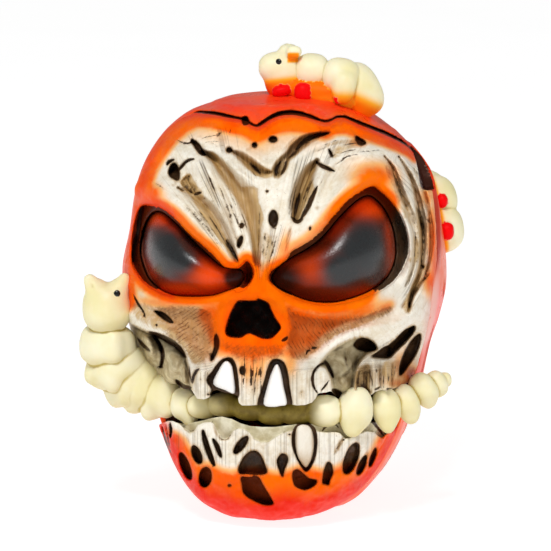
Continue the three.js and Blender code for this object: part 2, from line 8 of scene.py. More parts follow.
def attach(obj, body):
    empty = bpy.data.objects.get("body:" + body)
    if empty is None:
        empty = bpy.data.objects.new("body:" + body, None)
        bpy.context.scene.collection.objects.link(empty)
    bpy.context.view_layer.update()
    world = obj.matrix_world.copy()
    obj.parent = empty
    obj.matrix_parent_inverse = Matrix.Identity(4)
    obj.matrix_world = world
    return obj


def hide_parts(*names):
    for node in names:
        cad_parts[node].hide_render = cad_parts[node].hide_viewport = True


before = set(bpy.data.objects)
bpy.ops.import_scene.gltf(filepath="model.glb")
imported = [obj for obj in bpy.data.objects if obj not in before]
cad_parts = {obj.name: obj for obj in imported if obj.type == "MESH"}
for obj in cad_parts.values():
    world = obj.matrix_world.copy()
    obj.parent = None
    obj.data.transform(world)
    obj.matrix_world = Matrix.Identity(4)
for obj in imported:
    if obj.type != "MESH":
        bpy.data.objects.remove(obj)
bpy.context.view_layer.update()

# ============================================================== frame and camera
# The sculpt is laid out in skull coordinates, millimetres, and carried to the
# part's frame, metres, by one shift.
SHIFT = np.array([1.69, -3.8, 0.0])
AZ, EL, DIST, MMPX = math.radians(11), math.radians(10), 1200.0, 0.336
FPX = DIST / MMPX
CR = np.array([math.cos(AZ), math.sin(AZ), 0.0])
CF = np.array([-math.sin(AZ) * math.cos(EL), math.cos(AZ) * math.cos(EL), -math.sin(EL)])
CU = np.cross(CR, CF)
CT = -(284 - 275.5) * MMPX * CR + (504 - 275.5) * MMPX * CU
CC = CT - CF * DIST


def project(P):
    q = P - CC
    d = q @ CF
    return 275.5 + FPX * (q @ CR) / d, 275.5 - FPX * (q @ CU) / d


def at_depth(px, py, y):
    d = CF + CR * ((px - 275.5) / FPX) - CU * ((py - 275.5) / FPX)
    return CC + (y - CC[1]) / d[1] * d


scene = bpy.context.scene
cam_data = bpy.data.cameras.new("camera")
cam_data.sensor_width = 36.0
cam_data.lens = FPX * 36.0 / 551.0
cam_data.clip_start, cam_data.clip_end = 0.05, 20.0
camera = bpy.data.objects.new("camera", cam_data)
scene.collection.objects.link(camera)
rot = Matrix((CR, CU, -CF)).transposed()
camera.matrix_world = Matrix.Translation(Vector((CC + SHIFT) / 1000.0)) @ rot.to_4x4()
scene.camera = camera

# ============================================================== skull base surface
ROWS = np.array([
    [137.6, 0.0, 2.0, 2.0, 2.0, -1.0], [137.1, 11.0, -10.0, 15.0, 2.0, -1.4], [135.7, 19.5, -18.0, 24.5, 2.0, -2.0],
    [132.4, 28.2, -27.0, 33.5, 2.0, -2.7], [127.4, 35.4, -35.0, 41.5, 2.0, -2.4], [121.0, 41.8, -41.5, 47.5, 2.0, -1.2],
    [113.0, 46.7, -46.5, 52.0, 2.0, -0.2], [104.0, 48.9, -49.7, 55.0, 2.0, -0.2], [94.0, 50.5, -51.4, 57.0, 2.0, 0.1],
    [83.0, 52.5, -52.0, 58.0, 2.0, 0.0], [73.0, 52.5, -52.3, 57.8, 2.0, 0.0], [64.0, 50.9, -52.5, 57.2, 2.0, -0.4],
    [56.0, 48.6, -52.5, 56.4, 2.2, -0.6], [49.0, 46.7, -52.0, 55.8, 2.5, -0.4], [42.0, 44.8, -51.2, 55.3, 3.0, 0.0],
    [35.5, 42.8, -50.2, 54.9, 3.6, -0.2], [29.0, 40.8, -49.0, 54.5, 4.4, -0.5], [22.5, 38.4, -47.3, 54.0, 5.3, -0.8],
    [16.0, 35.4, -44.8, 53.4, 6.3, -1.2], [10.0, 31.8, -41.0, 52.6, 7.3, -1.7], [5.0, 27.4, -35.5, 51.6, 8.2, -2.2],
    [1.5, 22.4, -29.0, 50.4, 9.2, -2.6], [0.0, 19.4, -25.0, 49.0, 10.0, -2.8], [-2.5, 12.0, -16.0, 40.0, 10.0, -2.8],
    [-4.0, 0.0, 10.0, 10.0, 10.0, -2.8]])
NEXP = 2.25


def fine_rows(n=24):
    P = np.vstack([2 * ROWS[0] - ROWS[1], ROWS, 2 * ROWS[-1] - ROWS[-2]])
    out = []
    for i in range(1, len(P) - 2):
        p0, p1, p2, p3 = P[i - 1], P[i], P[i + 1], P[i + 2]
        for k in range(n):
            t = k / n
            out.append(0.5 * (2 * p1 + (p2 - p0) * t + (2 * p0 - 5 * p1 + 4 * p2 - p3) * t * t + (3 * p1 - p0 - 3 * p2 + p3) * t ** 3))
    out.append(ROWS[-1])
    return np.array(out)[::-1]


FINE_ROWS = fine_rows()
G0 = np.array([-66.0, -62.0, -8.0])      # base distance grid: low corner and pitch, mm
GP = 1.0
GN = (133, 134, 158)


def base_grid():
    x = G0[0] + GP * np.arange(GN[0])
    y = G0[1] + GP * np.arange(GN[1])
    z = G0[2] + GP * np.arange(GN[2])
    zc = np.clip(z, -3.9, 137.5)
    a, yf, yb, yc, xc = [np.interp(zc, FINE_ROWS[:, 0], FINE_ROWS[:, k]) for k in range(1, 6)]
    a = np.maximum(a, 0.5)
    X, Y = x[:, None, None], y[None, :, None]
    bf, bb = np.maximum(yc - yf, 0.5), np.maximum(yb - yc, 0.5)
    b = np.where(Y < yc, bf, bb)
    r = (np.abs((X - xc) / a) ** NEXP + np.abs((Y - yc) / b) ** NEXP) ** (1 / NEXP)
    f = (r - 1) * np.minimum(a, np.minimum(bf, bb))
    f = np.where(z > 137.5, np.maximum(f, 0) + (z - 137.5) * 1.5 + 0.0 * f, f)
    gx, gy, gz = np.gradient(f, GP)
    g = np.sqrt(gx * gx + gy * gy + gz * gz) + 1e-4
    d = f / np.maximum(g, 0.35)
    facing = -(gx * CF[0] + gy * CF[1] + gz * CF[2]) / g
    return d.astype(np.float32), facing.astype(np.float32)


BASE_D, BASE_N = base_grid()


def tri(grid, P):
    q = (P - G0) / GP
    i = np.clip(np.floor(q).astype(np.int32), 0, np.array(GN) - 2)
    t = (q - i).astype(np.float32)
    t = np.clip(t, 0, 1)
    ix, iy, iz = i[:, 0], i[:, 1], i[:, 2]
    tx, ty, tz = t[:, 0], t[:, 1], t[:, 2]
    c00 = grid[ix, iy, iz] * (1 - tx) + grid[ix + 1, iy, iz] * tx
    c10 = grid[ix, iy + 1, iz] * (1 - tx) + grid[ix + 1, iy + 1, iz] * tx
    c01 = grid[ix, iy, iz + 1] * (1 - tx) + grid[ix + 1, iy, iz + 1] * tx
    c11 = grid[ix, iy + 1, iz + 1] * (1 - tx) + grid[ix + 1, iy + 1, iz + 1] * tx
    return (c00 * (1 - ty) + c10 * ty) * (1 - tz) + (c01 * (1 - ty) + c11 * ty) * tz


def ss(a, b, x):
    t = np.clip((x - a) / (b - a), 0, 1)
    return t * t * (3 - 2 * t)


def noise3(P, seed=0):
    """value noise, 0..1, one cycle per unit"""
    i = np.floor(P)
    f = (P - i).astype(np.float32)
    f = f * f * (3 - 2 * f)
    i = i.astype(np.int64)

    def h(dx, dy, dz):
        n = ((i[:, 0] + dx) * 73856093) ^ ((i[:, 1] + dy) * 19349663) ^ ((i[:, 2] + dz) * 83492791) ^ (seed * 2654435761)
        n = n & 0x7fffffff
        n = ((n ^ (n >> 13)) * 1274126177) & 0x7fffffff
        n = ((n ^ (n >> 11)) * 668265263) & 0x7fffffff
        return ((n >> 8) & 0xffff).astype(np.float32) / 65535.0

    x0 = h(0, 0, 0) * (1 - f[:, 0]) + h(1, 0, 0) * f[:, 0]
    x1 = h(0, 1, 0) * (1 - f[:, 0]) + h(1, 1, 0) * f[:, 0]
    x2 = h(0, 0, 1) * (1 - f[:, 0]) + h(1, 0, 1) * f[:, 0]
    x3 = h(0, 1, 1) * (1 - f[:, 0]) + h(1, 1, 1) * f[:, 0]
    return (x0 * (1 - f[:, 1]) + x1 * f[:, 1]) * (1 - f[:, 2]) + (x2 * (1 - f[:, 1]) + x3 * f[:, 1]) * f[:, 2]


# ============================================================== relief drawn in the view's own pixels
# Strokes and outlines, in the pixels of the 551 x 551 view, carved into the base
# surface along the view. One map cell is half a pixel.
MU, MV, MK = 60.0, 70.0, 2.0
MW, MH = int(420 * MK), int(470 * MK)
GU, GV = np.meshgrid(MU + (np.arange(MW) + 0.5) / MK, MV + (np.arange(MH) + 0.5) / MK)
GU, GV = GU.astype(np.float32), GV.astype(np.float32)


def new_map(v=0.0):
    return np.full((MH, MW), v, np.float32)


def sample(m, u, v):
    x = np.clip((u - MU) * MK - 0.5, 0, MW - 1.001)
    y = np.clip((v - MV) * MK - 0.5, 0, MH - 1.001)
    ix, iy = x.astype(np.int32), y.astype(np.int32)
    tx, ty = (x - ix).astype(np.float32), (y - iy).astype(np.float32)
    return (m[iy, ix] * (1 - tx) + m[iy, ix + 1] * tx) * (1 - ty) + (m[iy + 1, ix] * (1 - tx) + m[iy + 1, ix + 1] * tx) * ty


def blur(m, s):
    r = int(math.ceil(2.5 * s * MK))
    k = np.exp(-0.5 * (np.arange(-r, r + 1) / (s * MK)) ** 2)
    k /= k.sum()
    for ax in (0, 1):
        p = np.pad(m, [(r, r) if a == ax else (0, 0) for a in (0, 1)], mode="edge")
        out = np.zeros_like(m)
        n = m.shape[ax]
        for j, w in enumerate(k):
            out += np.float32(w) * (p[j:j + n] if ax == 0 else p[:, j:j + n])
        m = out
    return m


def curve(pts, closed=False, n=3):
    P = np.asarray(pts, float)
    N = len(P)
    if N < 3:
        return P
    out = []
    for i in range(N if closed else N - 1):
        p0 = P[(i - 1) % N] if closed or i > 0 else 2 * P[0] - P[1]
        p1, p2 = P[i], P[(i + 1) % N]
        p3 = P[(i + 2) % N] if closed or i + 2 < N else 2 * P[-1] - P[-2]
        for k in range(n):
            t = k / n
            out.append(0.5 * (2 * p1 + (p2 - p0) * t + (2 * p0 - 5 * p1 + 4 * p2 - p3) * t * t + (3 * p1 - p0 - 3 * p2 + p3) * t ** 3))
    if not closed:
        out.append(P[-1])
    return np.array(out)


def window(P, m):
    lo, hi = P.min(0) - m, P.max(0) + m
    c0, c1 = int(max((lo[0] - MU) * MK, 0)), int(min((hi[0] - MU) * MK + 1, MW))
    r0, r1 = int(max((lo[1] - MV) * MK, 0)), int(min((hi[1] - MV) * MK + 1, MH))
    return slice(r0, max(r1, r0)), slice(c0, max(c1, c0))


def dist_to(U, V, P, closed):
    Q = np.vstack([P, P[:1]]) if closed else P
    L = np.concatenate([[0], np.cumsum(np.hypot(*np.diff(Q, axis=0).T))])
    best = np.full(U.shape, 1e9, np.float32)
    par = np.zeros(U.shape, np.float32)
    inside = np.zeros(U.shape, bool)
    for i in range(len(Q) - 1):
        ax, ay = Q[i]
        bx, by = Q[i + 1]
        dx, dy = bx - ax, by - ay
        l2 = dx * dx + dy * dy + 1e-9
        t = np.clip(((U - ax) * dx + (V - ay) * dy) / l2, 0, 1)
        d = (U - ax - t * dx) ** 2 + (V - ay - t * dy) ** 2
        m = d < best
        best = np.where(m, d, best)
        par = np.where(m, (L[i] + t * math.sqrt(l2)) / L[-1], par)
        if closed and by != ay:
            inside ^= ((ay > V) != (by > V)) & (U < dx * (V - ay) / (by - ay) + ax)
    return np.sqrt(best), par, inside


def outline_sd(pts, margin=34.0, n=3):
    """signed distance in px, negative inside, clipped to the margin"""
    P = curve(pts, True, n)
    out = new_map(margin)
    w = window(P, margin)
    d, _, inside = dist_to(GU[w], GV[w], P, True)
    out[w] = np.minimum(np.where(inside, -d, d), margin)
    return out


def below_line(pts, margin=30.0):
    """signed distance in px from a line running left to right, positive below it"""
    P = np.asarray(pts, float)
    s = np.where(GV > np.interp(GU, P[:, 0], P[:, 1]), 1.0, -1.0).astype(np.float32)
    out = s * margin
    w = window(P, margin)
    d, _, _ = dist_to(GU[w], GV[w], P, False)
    out[w] = s[w] * np.minimum(d, margin)
    return out


HGT = new_map()          # relief, mm, positive outward
DARK = new_map()         # black-brown paint in holes
WASH = new_map()         # thin brown wash


def groove(pts, w, depth, dark=0.0, wash=0.8, taper=0.5, smooth=True):
    P = curve(pts) if smooth else np.asarray(pts, float)
    win = window(P, w * 1.2 + 3)
    d, t, _ = dist_to(GU[win], GV[win], P, False)
    ends = np.clip(np.sin(np.pi * np.clip(t, 0.02, 0.98)), 0, 1) ** taper if taper else 1.0
    r = np.maximum(0.5 * w * ends, 0.35)
    x = np.clip(d / r, 0, 1)
    HGT[win] -= 1.2 * depth * (1 - x * x) ** 1.5
    if dark:
        DARK[win] = np.maximum(DARK[win], dark * ss(1.0, 0.45, d / r))
    if wash:
        WASH[win] = np.maximum(WASH[win], wash * ss(1.5, 0.3, d / r))


def ridge(pts, w, height):
    P = curve(pts)
    win = window(P, w)
    d, t, _ = dist_to(GU[win], GV[win], P, False)
    ends = np.clip(np.sin(np.pi * np.clip(t, 0.03, 0.97)), 0, 1) ** 0.4
    HGT[win] += 1.9 * height * ends * np.exp(-(d / (0.36 * w)) ** 2)


def pit(pts, depth, dark=1.0, wash=0.8, edge=1.6, smooth=True):
    P = curve(pts, True) if smooth else np.asarray(pts, float)
    win = window(P, 8)
    d, _, inside = dist_to(GU[win], GV[win], P, True)
    sd = np.where(inside, -d, d)
    HGT[win] -= depth * ss(edge * 0.6, -edge, sd)
    if dark:
        DARK[win] = np.maximum(DARK[win], dark * ss(0.7, -1.0, sd))
    if wash:
        WASH[win] = np.maximum(WASH[win], wash * ss(3.0, -0.5, sd))


def hole(cx, cy, rx, ry, ang=0.0, depth=2.5, dark=1.0, wash=0.7):
    a = np.linspace(0, 2 * np.pi, 20, endpoint=False)
    c, s = math.cos(math.radians(ang)), math.sin(math.radians(ang))
    x, y = rx * np.cos(a), ry * np.sin(a)
    pit(np.stack([cx + x * c - y * s, cy + x * s + y * c], -1), depth, dark, wash, smooth=False)


def slot(p, q, w, depth=2.5, dark=1.0):
    p, q = np.array(p, float), np.array(q, float)
    m, v = (p + q) / 2, q - p
    L = np.hypot(*v)
    hole(m[0], m[1], L / 2, w / 2, math.degrees(math.atan2(v[1], v[0])), depth, dark)


# ---- outlines
SOCKET_L = [(132, 262), (132, 245), (134, 228), (138, 212), (143, 205), (152, 205), (163, 208), (175, 217), (187, 230), (200, 242), (211, 251), (219, 260), (226, 267), (236, 268), (242, 264), (247, 260), (252, 265), (254, 272), (252, 280), (246, 288), (239, 292), (232, 290), (220, 295), (203, 298), (185, 298), (170, 296), (157, 291), (146, 284), (138, 275)]
SOCKET_R = [(268, 279), (270, 271), (277, 266), (285, 260), (291, 251), (301, 245), (310, 239.5), (318, 232.5), (325, 225), (332, 216.5), (340, 207), (348, 199), (357, 192.5), (366, 187.5), (374, 185.5), (382, 191.5), (391, 200.5), (400, 213), (406.5, 228), (409, 243), (408.5, 255), (404, 267), (397, 278), (386, 288), (372, 295), (355, 301), (338, 304.5), (320, 305), (305, 302), (292, 297), (280, 291), (272, 285)]
NOSE = [(237, 301), (243, 300), (255, 300), (258, 298), (264, 300), (269, 303), (272, 310), (276, 318), (280, 324), (281, 329), (276, 335), (271, 339), (262, 339), (255, 336), (250, 334), (246, 335), (241, 338), (233, 338), (227, 336), (225, 331), (227, 322), (231, 311)]
DOME_L = [(141, 255), (142, 238), (146, 224), (152, 214), (161, 212), (173, 221), (185, 233), (198, 246), (210, 257), (222, 267), (234, 269), (241, 270), (244, 276), (240, 285), (228, 290), (212, 295), (190, 296), (172, 294), (158, 287), (148, 276)]
DOME_R = [(272, 279), (276, 270), (290, 259), (306, 250), (320, 240), (331, 228), (341, 216), (351, 206), (360, 199), (369, 196), (378, 202), (386, 213), (392, 227), (395, 243), (395, 257), (391, 270), (383, 281), (370, 290), (350, 298), (330, 302), (308, 300), (290, 293), (278, 287)]
LIP_UP = [(60, 384), (165, 384), (176, 384), (183, 389), (191, 389), (193, 392), (197, 398.5), (204, 399.5), (210, 397), (212.5, 391), (217, 390), (224, 392.5), (233, 394), (237.5, 396), (239, 403), (242, 405.5), (250, 405.5), (258, 405), (262, 405.5), (266, 406), (274, 407), (282, 406), (287, 404.5), (292, 404.5), (297, 405.5), (305, 405), (312, 402.5), (316, 398), (317.5, 394), (320, 393), (326, 392.5), (331, 391), (335, 396), (341, 398), (346, 395), (351, 394.5), (354, 391), (360, 390), (364, 392.5), (370, 396), (375, 392), (381, 390), (388, 391), (393, 389), (400, 386), (412, 381), (425, 373), (440, 370), (480, 368)]
LIP_LOW = [(60, 424), (150, 424), (160, 424), (168, 421), (173, 421), (180, 424), (186, 430), (190, 433), (195, 430), (198, 425), (204, 422.5), (211, 422), (214, 424), (217, 432), (222, 439), (226, 439.5), (230, 436), (233, 431), (238, 428.5), (244, 429), (250, 433), (254, 439), (261, 442.5), (268, 442.5), (274, 438.5), (281, 434), (288, 431.5), (292, 431), (294, 430), (297, 427), (303, 425), (310, 427), (314, 430), (318, 431.5), (326, 432.5), (335, 432), (340, 433), (345, 439), (349, 437.5), (355, 435), (360, 432.5), (366, 431), (374, 431.5), (378, 436), (382, 438), (386, 434), (392, 430), (398, 425), (410, 420), (480, 418)]
GUM_LOW = [(60, 418), (160, 420), (185, 424), (200, 421), (212, 418), (222, 416.5), (232, 419), (240, 423), (250, 426), (262, 427), (275, 427), (290, 425), (300, 424), (320, 424), (335, 422), (345, 425), (360, 423), (372, 422), (390, 422), (480, 418)]
CRACK = [(186, 116), (196, 112), (206, 112.5), (216, 113.5), (230, 116.5), (240, 118.5), (247, 121), (252, 124.5), (257, 126), (263, 123), (271, 118), (280, 114), (290, 112.3), (300, 113.2), (310, 116), (318, 119.5), (325, 121.5), (331, 120), (337, 117), (345, 117), (356, 121.5), (370, 127), (385, 133), (399, 140), (407, 145), (414, 152)]
FACE_EDGE = [(60, 384), (122, 372), (130, 345), (129, 320), (126, 295), (125, 280), (127, 262), (129, 245), (131, 228), (136, 205), (142, 184), (147, 168), (155, 151), (166, 134), (178, 122)] + CRACK + [(420, 158), (427, 168), (432, 182), (434, 192), (437, 208), (438, 222), (439, 240), (438, 256), (435, 272), (432, 290), (430, 310), (427, 330), (424, 350), (422, 368), (432, 400), (440, 440), (60, 440)]

SD_L = outline_sd(SOCKET_L)
SD_R = outline_sd(SOCKET_R)
SD_N = outline_sd(NOSE)
SD_DL = outline_sd(DOME_L, 60)
SD_DR = outline_sd(DOME_R, 60)
CUT_UP = below_line(LIP_UP)
CUT_LOW = -below_line(LIP_LOW)
CUT_GUM = -below_line(GUM_LOW)
FACE_SD = outline_sd(FACE_EDGE, 40, 1)

# ---- broad forms
ridge([(140, 186), (160, 196), (180, 210), (200, 230), (216, 247), (230, 261)], 30, 2.6)
ridge([(290, 246), (312, 232), (330, 212), (346, 194), (362, 180), (378, 177), (392, 190), (404, 212)], 32, 2.8)
ridge([(276, 176), (270, 205), (264, 235), (258, 270), (254, 292)], 44, 1.6)
ridge([(196, 158), (212, 178), (226, 200), (237, 224), (245, 252)], 20, 1.7)
ridge([(152, 180), (174, 194), (196, 214), (213, 236), (227, 256)], 26, 1.5)
ridge([(300, 236), (318, 220), (338, 198), (358, 178), (380, 162), (396, 168)], 34, 1.6)
ridge([(262, 182), (271, 202), (268, 240)], 32, 1.2)
ridge([(300, 168), (291, 185), (287, 205), (287, 226)], 15, 1.0)
ridge([(286, 172), (296, 160), (310, 149), (330, 143), (352, 147)], 15, 1.1)
ridge([(322, 178), (334, 164), (350, 154), (372, 147), (396, 152), (412, 168)], 20, 1.2)
ridge([(322, 176), (314, 200), (306, 226)], 16, 1.2)
ridge([(224, 158), (240, 172), (256, 186)], 14, 1.2)
ridge([(240, 146), (258, 160), (272, 164), (284, 148), (298, 136)], 22, 1.0)
ridge([(296, 160), (286, 180), (280, 200)], 16, 1.0)
ridge([(330, 160), (318, 185), (308, 215)], 14, 1.2)
ridge([(136, 284), (156, 299), (190, 305), (222, 301), (246, 294)], 20, 1.6)
ridge([(262, 292), (290, 304), (322, 311), (356, 307), (386, 295), (408, 272)], 22, 1.8)
ridge([(404, 215), (413, 240), (413, 262), (405, 285)], 16, 1.6)
ridge([(134, 316), (152, 324), (172, 334), (188, 350), (196, 372)], 20, 2.2)
ridge([(306, 368), (324, 352), (344, 338), (368, 330), (392, 328), (412, 314), (424, 292)], 24, 2.6)
ridge([(214, 300), (222, 318), (222, 336), (226, 348)], 16, 1.2)
ridge([(272, 296), (284, 312), (290, 330), (282, 346)], 16, 1.2)
ridge([(202, 352), (202, 396)], 20, 1.5)
ridge([(249, 348), (250, 404)], 28, 1.5)
ridge([(302, 350), (305, 404)], 28, 1.7)
ridge([(160, 150), (185, 155), (205, 170)], 26, 1.2)
ridge([(340, 150), (365, 155), (390, 165), (405, 185)], 26, 1.0)
ridge([(186, 432), (205, 440), (228, 446)], 24, 0.8)
ridge([(250, 446), (282, 440), (300, 450)], 26, 0.8)
ridge([(320, 440), (345, 446), (375, 440)], 26, 0.8)

# ---- crack between rind and face, and the pocket at its right end
groove(CRACK, 3.6, 0.9, 0.72, 0.0, 0.3)
groove([(258, 125), (264, 121), (272, 116.5), (281, 113.3), (291, 112.6), (301, 114), (311, 117), (320, 120.5)], 6.4, 0.7, 0.95, 0.0, 0.4)
groove([q for q in CRACK if 194 < q[0] < 244], 5.0, 0.5, 0.8, 0.4, 0.3)
groove([q for q in CRACK if q[0] > 336], 5.2, 0.5, 0.85, 0.3, 0.3)
ridge([(x, y + 5.5) for x, y in CRACK], 9, 0.6)
pit([(242, 117), (247.5, 116.5), (249, 121), (248, 125), (242.5, 124.5)], 2.0, 0.9, 0.0)
POCKET = [(409, 145.5), (415, 149), (421, 155), (426.5, 164), (431, 175), (434, 186), (433, 190), (424, 190), (420.5, 186), (418.5, 176), (416.5, 163), (413, 153)]
SD_POCKET = outline_sd(POCKET, 20)
groove([(434, 194), (437, 208), (439.5, 222), (441, 238), (441, 254), (438, 275)], 4.5, 1.3, 0.0, 0.0)

# ---- forehead, left
groove([(176, 139), (181, 142), (187, 143.5), (193, 142), (197, 146)], 3, 0.8, 0.7, 0.7)
groove([(192, 140), (197, 146), (202, 153), (205, 155)], 8.5, 2.2, 0.85, 0.9, 0.35)
groove([(203, 152), (212, 158), (222, 168), (232, 180), (241, 192), (248, 205), (253, 221), (256, 240), (257, 264)], 20, 3.4, 0.0, 0.3, 0.4)
groove([(203, 153), (210, 156), (217, 161)], 9, 0.6, 0.25, 0.8)
groove([(178, 188), (190, 195), (203, 203), (213, 213), (222, 228), (229, 243), (237, 261)], 14, 2.8, 0.0, 0.4, 0.4)
groove([(226, 240), (232, 250), (238, 261)], 6, 1.4, 0.7, 0.6)
pit([(168.5, 172), (171, 165), (174.5, 162.5), (178, 166), (180, 174), (178.5, 181), (174, 179.5), (169.5, 176.5)], 3.6)
groove([(166.5, 166), (169, 162), (175, 159)], 4.5, 1.2, 0.85, 0.7)
groove([(179, 170), (184, 164), (188, 160.5), (194, 159)], 4.5, 1.6, 0.9, 0.7, 0.3)
pit([(181, 183), (186, 176.5), (190.5, 175), (190, 182), (196.5, 188), (193, 194.5), (186, 190)], 1.6, 0.45, 0.9)
groove([(194, 195), (199, 193), (202, 192.5)], 5, 1.2, 0.75, 0.8)
groove([(202, 199), (206, 198)], 4, 0.8, 0.4, 0.7)
groove([(154, 182), (160, 186), (165, 189)], 2.6, 0.7, 0.6, 0.6)
groove([(177, 206), (181, 210)], 2, 0.5, 0.3, 0.5)
hole(174, 184.5, 1.2, 1.2, 0, 0.8, 0.7)
for pts in ([(200, 164), (206, 182), (213, 201)], [(205, 168), (211, 186), (217, 201)], [(209, 172), (214, 187), (219, 199)], [(203, 200), (213, 222), (222, 246)],
            [(195, 206), (207, 223), (216, 240)], [(186, 204), (200, 220), (210, 236)], [(222, 186), (234, 212), (243, 238)], [(228, 182), (240, 206), (248, 230)],
            [(217, 176), (229, 200), (238, 222)], [(233, 162), (246, 174), (258, 184)], [(214, 162), (222, 172), (232, 186)]):
    groove(pts, 2.2, 0.55, 0.25, 0.55)
groove([(208, 175), (212, 184), (215, 192)], 2.2, 0.7, 0.7, 0.5)
groove([(216, 138), (219, 134), (222, 131.5)], 3, 0.8, 0.6, 0.6)
groove([(229, 136), (231, 128)], 2, 0.6, 0.6, 0.4)
groove([(224, 133), (227, 127)], 1.5, 0.4, 0.3, 0.3)
groove([(198, 134), (203, 138)], 1.6, 0.4, 0.3, 0.4)
hole(229.3, 150.2, 3.2, 3.0)
hole(254.6, 145.3, 3.0, 2.9)
hole(273, 139.6, 4.6, 3.4)
groove([(246, 150), (251, 148)], 5, 0.5, 0.0, 0.6)
# V wrinkle
groove([(232, 151), (242, 157), (252, 165), (262, 171.5), (271, 172)], 13, 3.2, 0.0, 0.85)
groove([(250, 163), (258, 171), (262, 176)], 6, 1.2, 0.55, 0.6)
pit([(275, 177), (272.5, 170), (278, 160), (286, 153), (292, 144.5), (302, 136.5), (314, 133), (331, 132.5), (318, 138), (306, 146), (297, 153.5), (289, 160), (286, 168), (280, 176)], 2.6, 0.35, 1.0, 2.6)
groove([(296, 150), (304, 141.5), (314, 136.5), (328, 133.5)], 6.5, 1.2, 0.85, 0.9, 0.35)
groove([(276, 176), (277, 168), (281, 161)], 4.5, 1.0, 0.75, 0.8)
groove([(281, 175), (285, 168), (286, 161)], 3.6, 1.0, 0.9, 0.7)
groove([(289, 158), (297, 151)], 3.0, 0.8, 0.8, 0.7)
groove([(282, 152), (290, 143), (297, 136)], 3, 0.6, 0.3, 0.6)
groove([(251, 170), (258, 179)], 2, 0.6, 0.5, 0.5)
hole(267, 191.3, 2.0, 1.6, 0, 1.2)
hole(273.2, 218.5, 5.0, 8.8, 0, 3.5)
groove([(271, 227), (275, 229), (278, 228)], 2.4, 0.6, 0.5, 0.5)
hole(240, 241.8, 2.7, 6.6, 18, 3.0)
hole(241.8, 225.6, 2.3, 3.0, 0, 1.6, 0.85)
for pts in ([(266, 226), (262, 246), (258, 270)], [(271, 234), (266, 254), (261, 274)], [(261, 200), (259, 230), (258, 256)], [(277, 236), (271, 256), (266, 272)], [(265, 244), (262, 258)]):
    groove(pts, 2.4, 0.6, 0.45, 0.6)
groove([(283, 238), (279, 252), (274, 266)], 3.0, 0.5, 0.0, 0.3)
# forehead, right
groove([(317, 161), (309, 172), (302, 187), (297, 203), (295.5, 219)], 17, 3.4, 0.0, 0.85, 0.35)
groove([(317.5, 186), (312, 198), (307, 209), (300, 220)], 6.5, 2.0, 0.9, 0.8)
groove([(300, 193), (296.5, 206), (294.5, 217)], 5.5, 1.4, 0.75, 0.8)
groove([(303, 196), (300, 208)], 3, -0.9, 0.0, 0.0)
groove([(292, 217), (297, 222), (303, 219)], 5, 1.6, 0.85, 0.8)
groove([(306, 165), (300, 178), (295, 194)], 2, 0.5, 0.3, 0.6)
groove([(315, 161), (321, 165.5), (328, 168.5), (335, 171.5)], 5.5, 1.8, 0.85, 0.9)
groove([(329, 171), (332, 174)], 2.5, 0.6, 0.5, 0.5)
groove([(328.5, 148.5), (330.5, 153), (333, 158)], 4.0, 1.6, 0.9, 0.8)
groove([(334, 166.5), (340, 162), (346, 157.5)], 1.7, 0.6, 0.7, 0.5)
groove([(326, 146), (340, 142), (356, 141)], 5, 0.7, 0.0, 0.65)
groove([(348, 156), (362, 149), (374, 147)], 1.6, 0.4, 0.3, 0.4)
pit([(355, 136), (361, 138.5), (367, 143), (362, 146), (357, 144)], 2.2)
hole(310, 228.5, 1.6, 2.6, 15, 1.4, 0.8)
groove([(320, 215), (319, 224)], 1.8, 0.6, 0.3, 0.3)
hole(317.5, 208, 1.3, 1.3, 0, 0.8, 0.5)
groove([(291, 227), (288, 240), (286, 252)], 5, 1.4, 0.1, 0.5)
# right temple
groove([(384, 156), (393, 168), (399, 184), (406, 203), (412, 222), (415, 244), (413, 266), (405, 286)], 9, 2.2, 0.0, 0.6)
groove([(392, 168), (396, 180), (401, 194), (408, 212)], 5.0, 1.3, 0.5, 0.9)
groove([(398, 156), (409, 174), (417, 196), (422, 220), (423, 244), (420, 268), (412, 292), (408, 312)], 9.5, 2.2, 0.0, 0.66)
groove([(416, 206), (420, 219), (423, 231)], 5.0, 1.0, 0.5, 0.9)
groove([(413, 168), (422, 186), (428, 208), (431, 232), (430, 256), (425, 276)], 6.5, 1.5, 0.0, 0.5)
groove([(413, 236), (417, 250), (416, 262)], 8, 0.9, 0.0, 0.8)
groove([(427, 219), (430.5, 223)], 4.0, 0.7, 0.5, 0.6)
hole(423, 267, 1.8, 2.2, 20, 1.2, 0.7)
hole(410, 260, 1.3, 1.1, 0, 0.7, 0.5)
groove([(429, 274), (420, 284), (412, 297), (409, 313)], 5.5, 1.3, 0.45, 0.9)
groove([(405, 302), (402, 309)], 4, 0.7, 0.2, 0.7)
groove([(409, 302), (409.5, 308)], 3.4, 0.9, 0.75, 0.6)
groove([(393, 317), (391, 322)], 2, 0.4, 0.3, 0.4)

# ---- cheeks, left
groove([(133, 294), (139, 305), (144, 313), (145.5, 320)], 3.2, 1.0, 0.9, 0.7)
groove([(141, 317), (145, 316)], 3, 0.6, 0.4, 0.6)
pit([(154, 311), (160, 311), (167, 314.5), (174, 323), (168, 322.5), (160, 317)], 2.4)
groove([(147, 308), (155, 311.5)], 2.4, 0.6, 0.4, 0.6)
hole(156.5, 325, 1.7, 1.7, 0, 1.0, 0.75)
pit([(112, 326), (131, 324.5), (148, 331.5), (165, 337.5), (178, 344.5), (185, 352.5), (188, 363), (189.5, 376), (192, 390), (184, 394), (160, 396), (130, 392), (112, 360)], 5.5, 0.0, 0.6, 2.4)
ridge([(141, 335), (149, 343), (152, 358)], 14, 3.6)
ridge([(168, 352), (176, 362), (172, 374)], 20, 4.2)
ridge([(184, 366), (185, 384)], 8, 3.2)
groove([(150, 332), (165, 338.5), (178, 347), (185.5, 357)], 8, 1.6, 0.9, 0.8, 0.35)
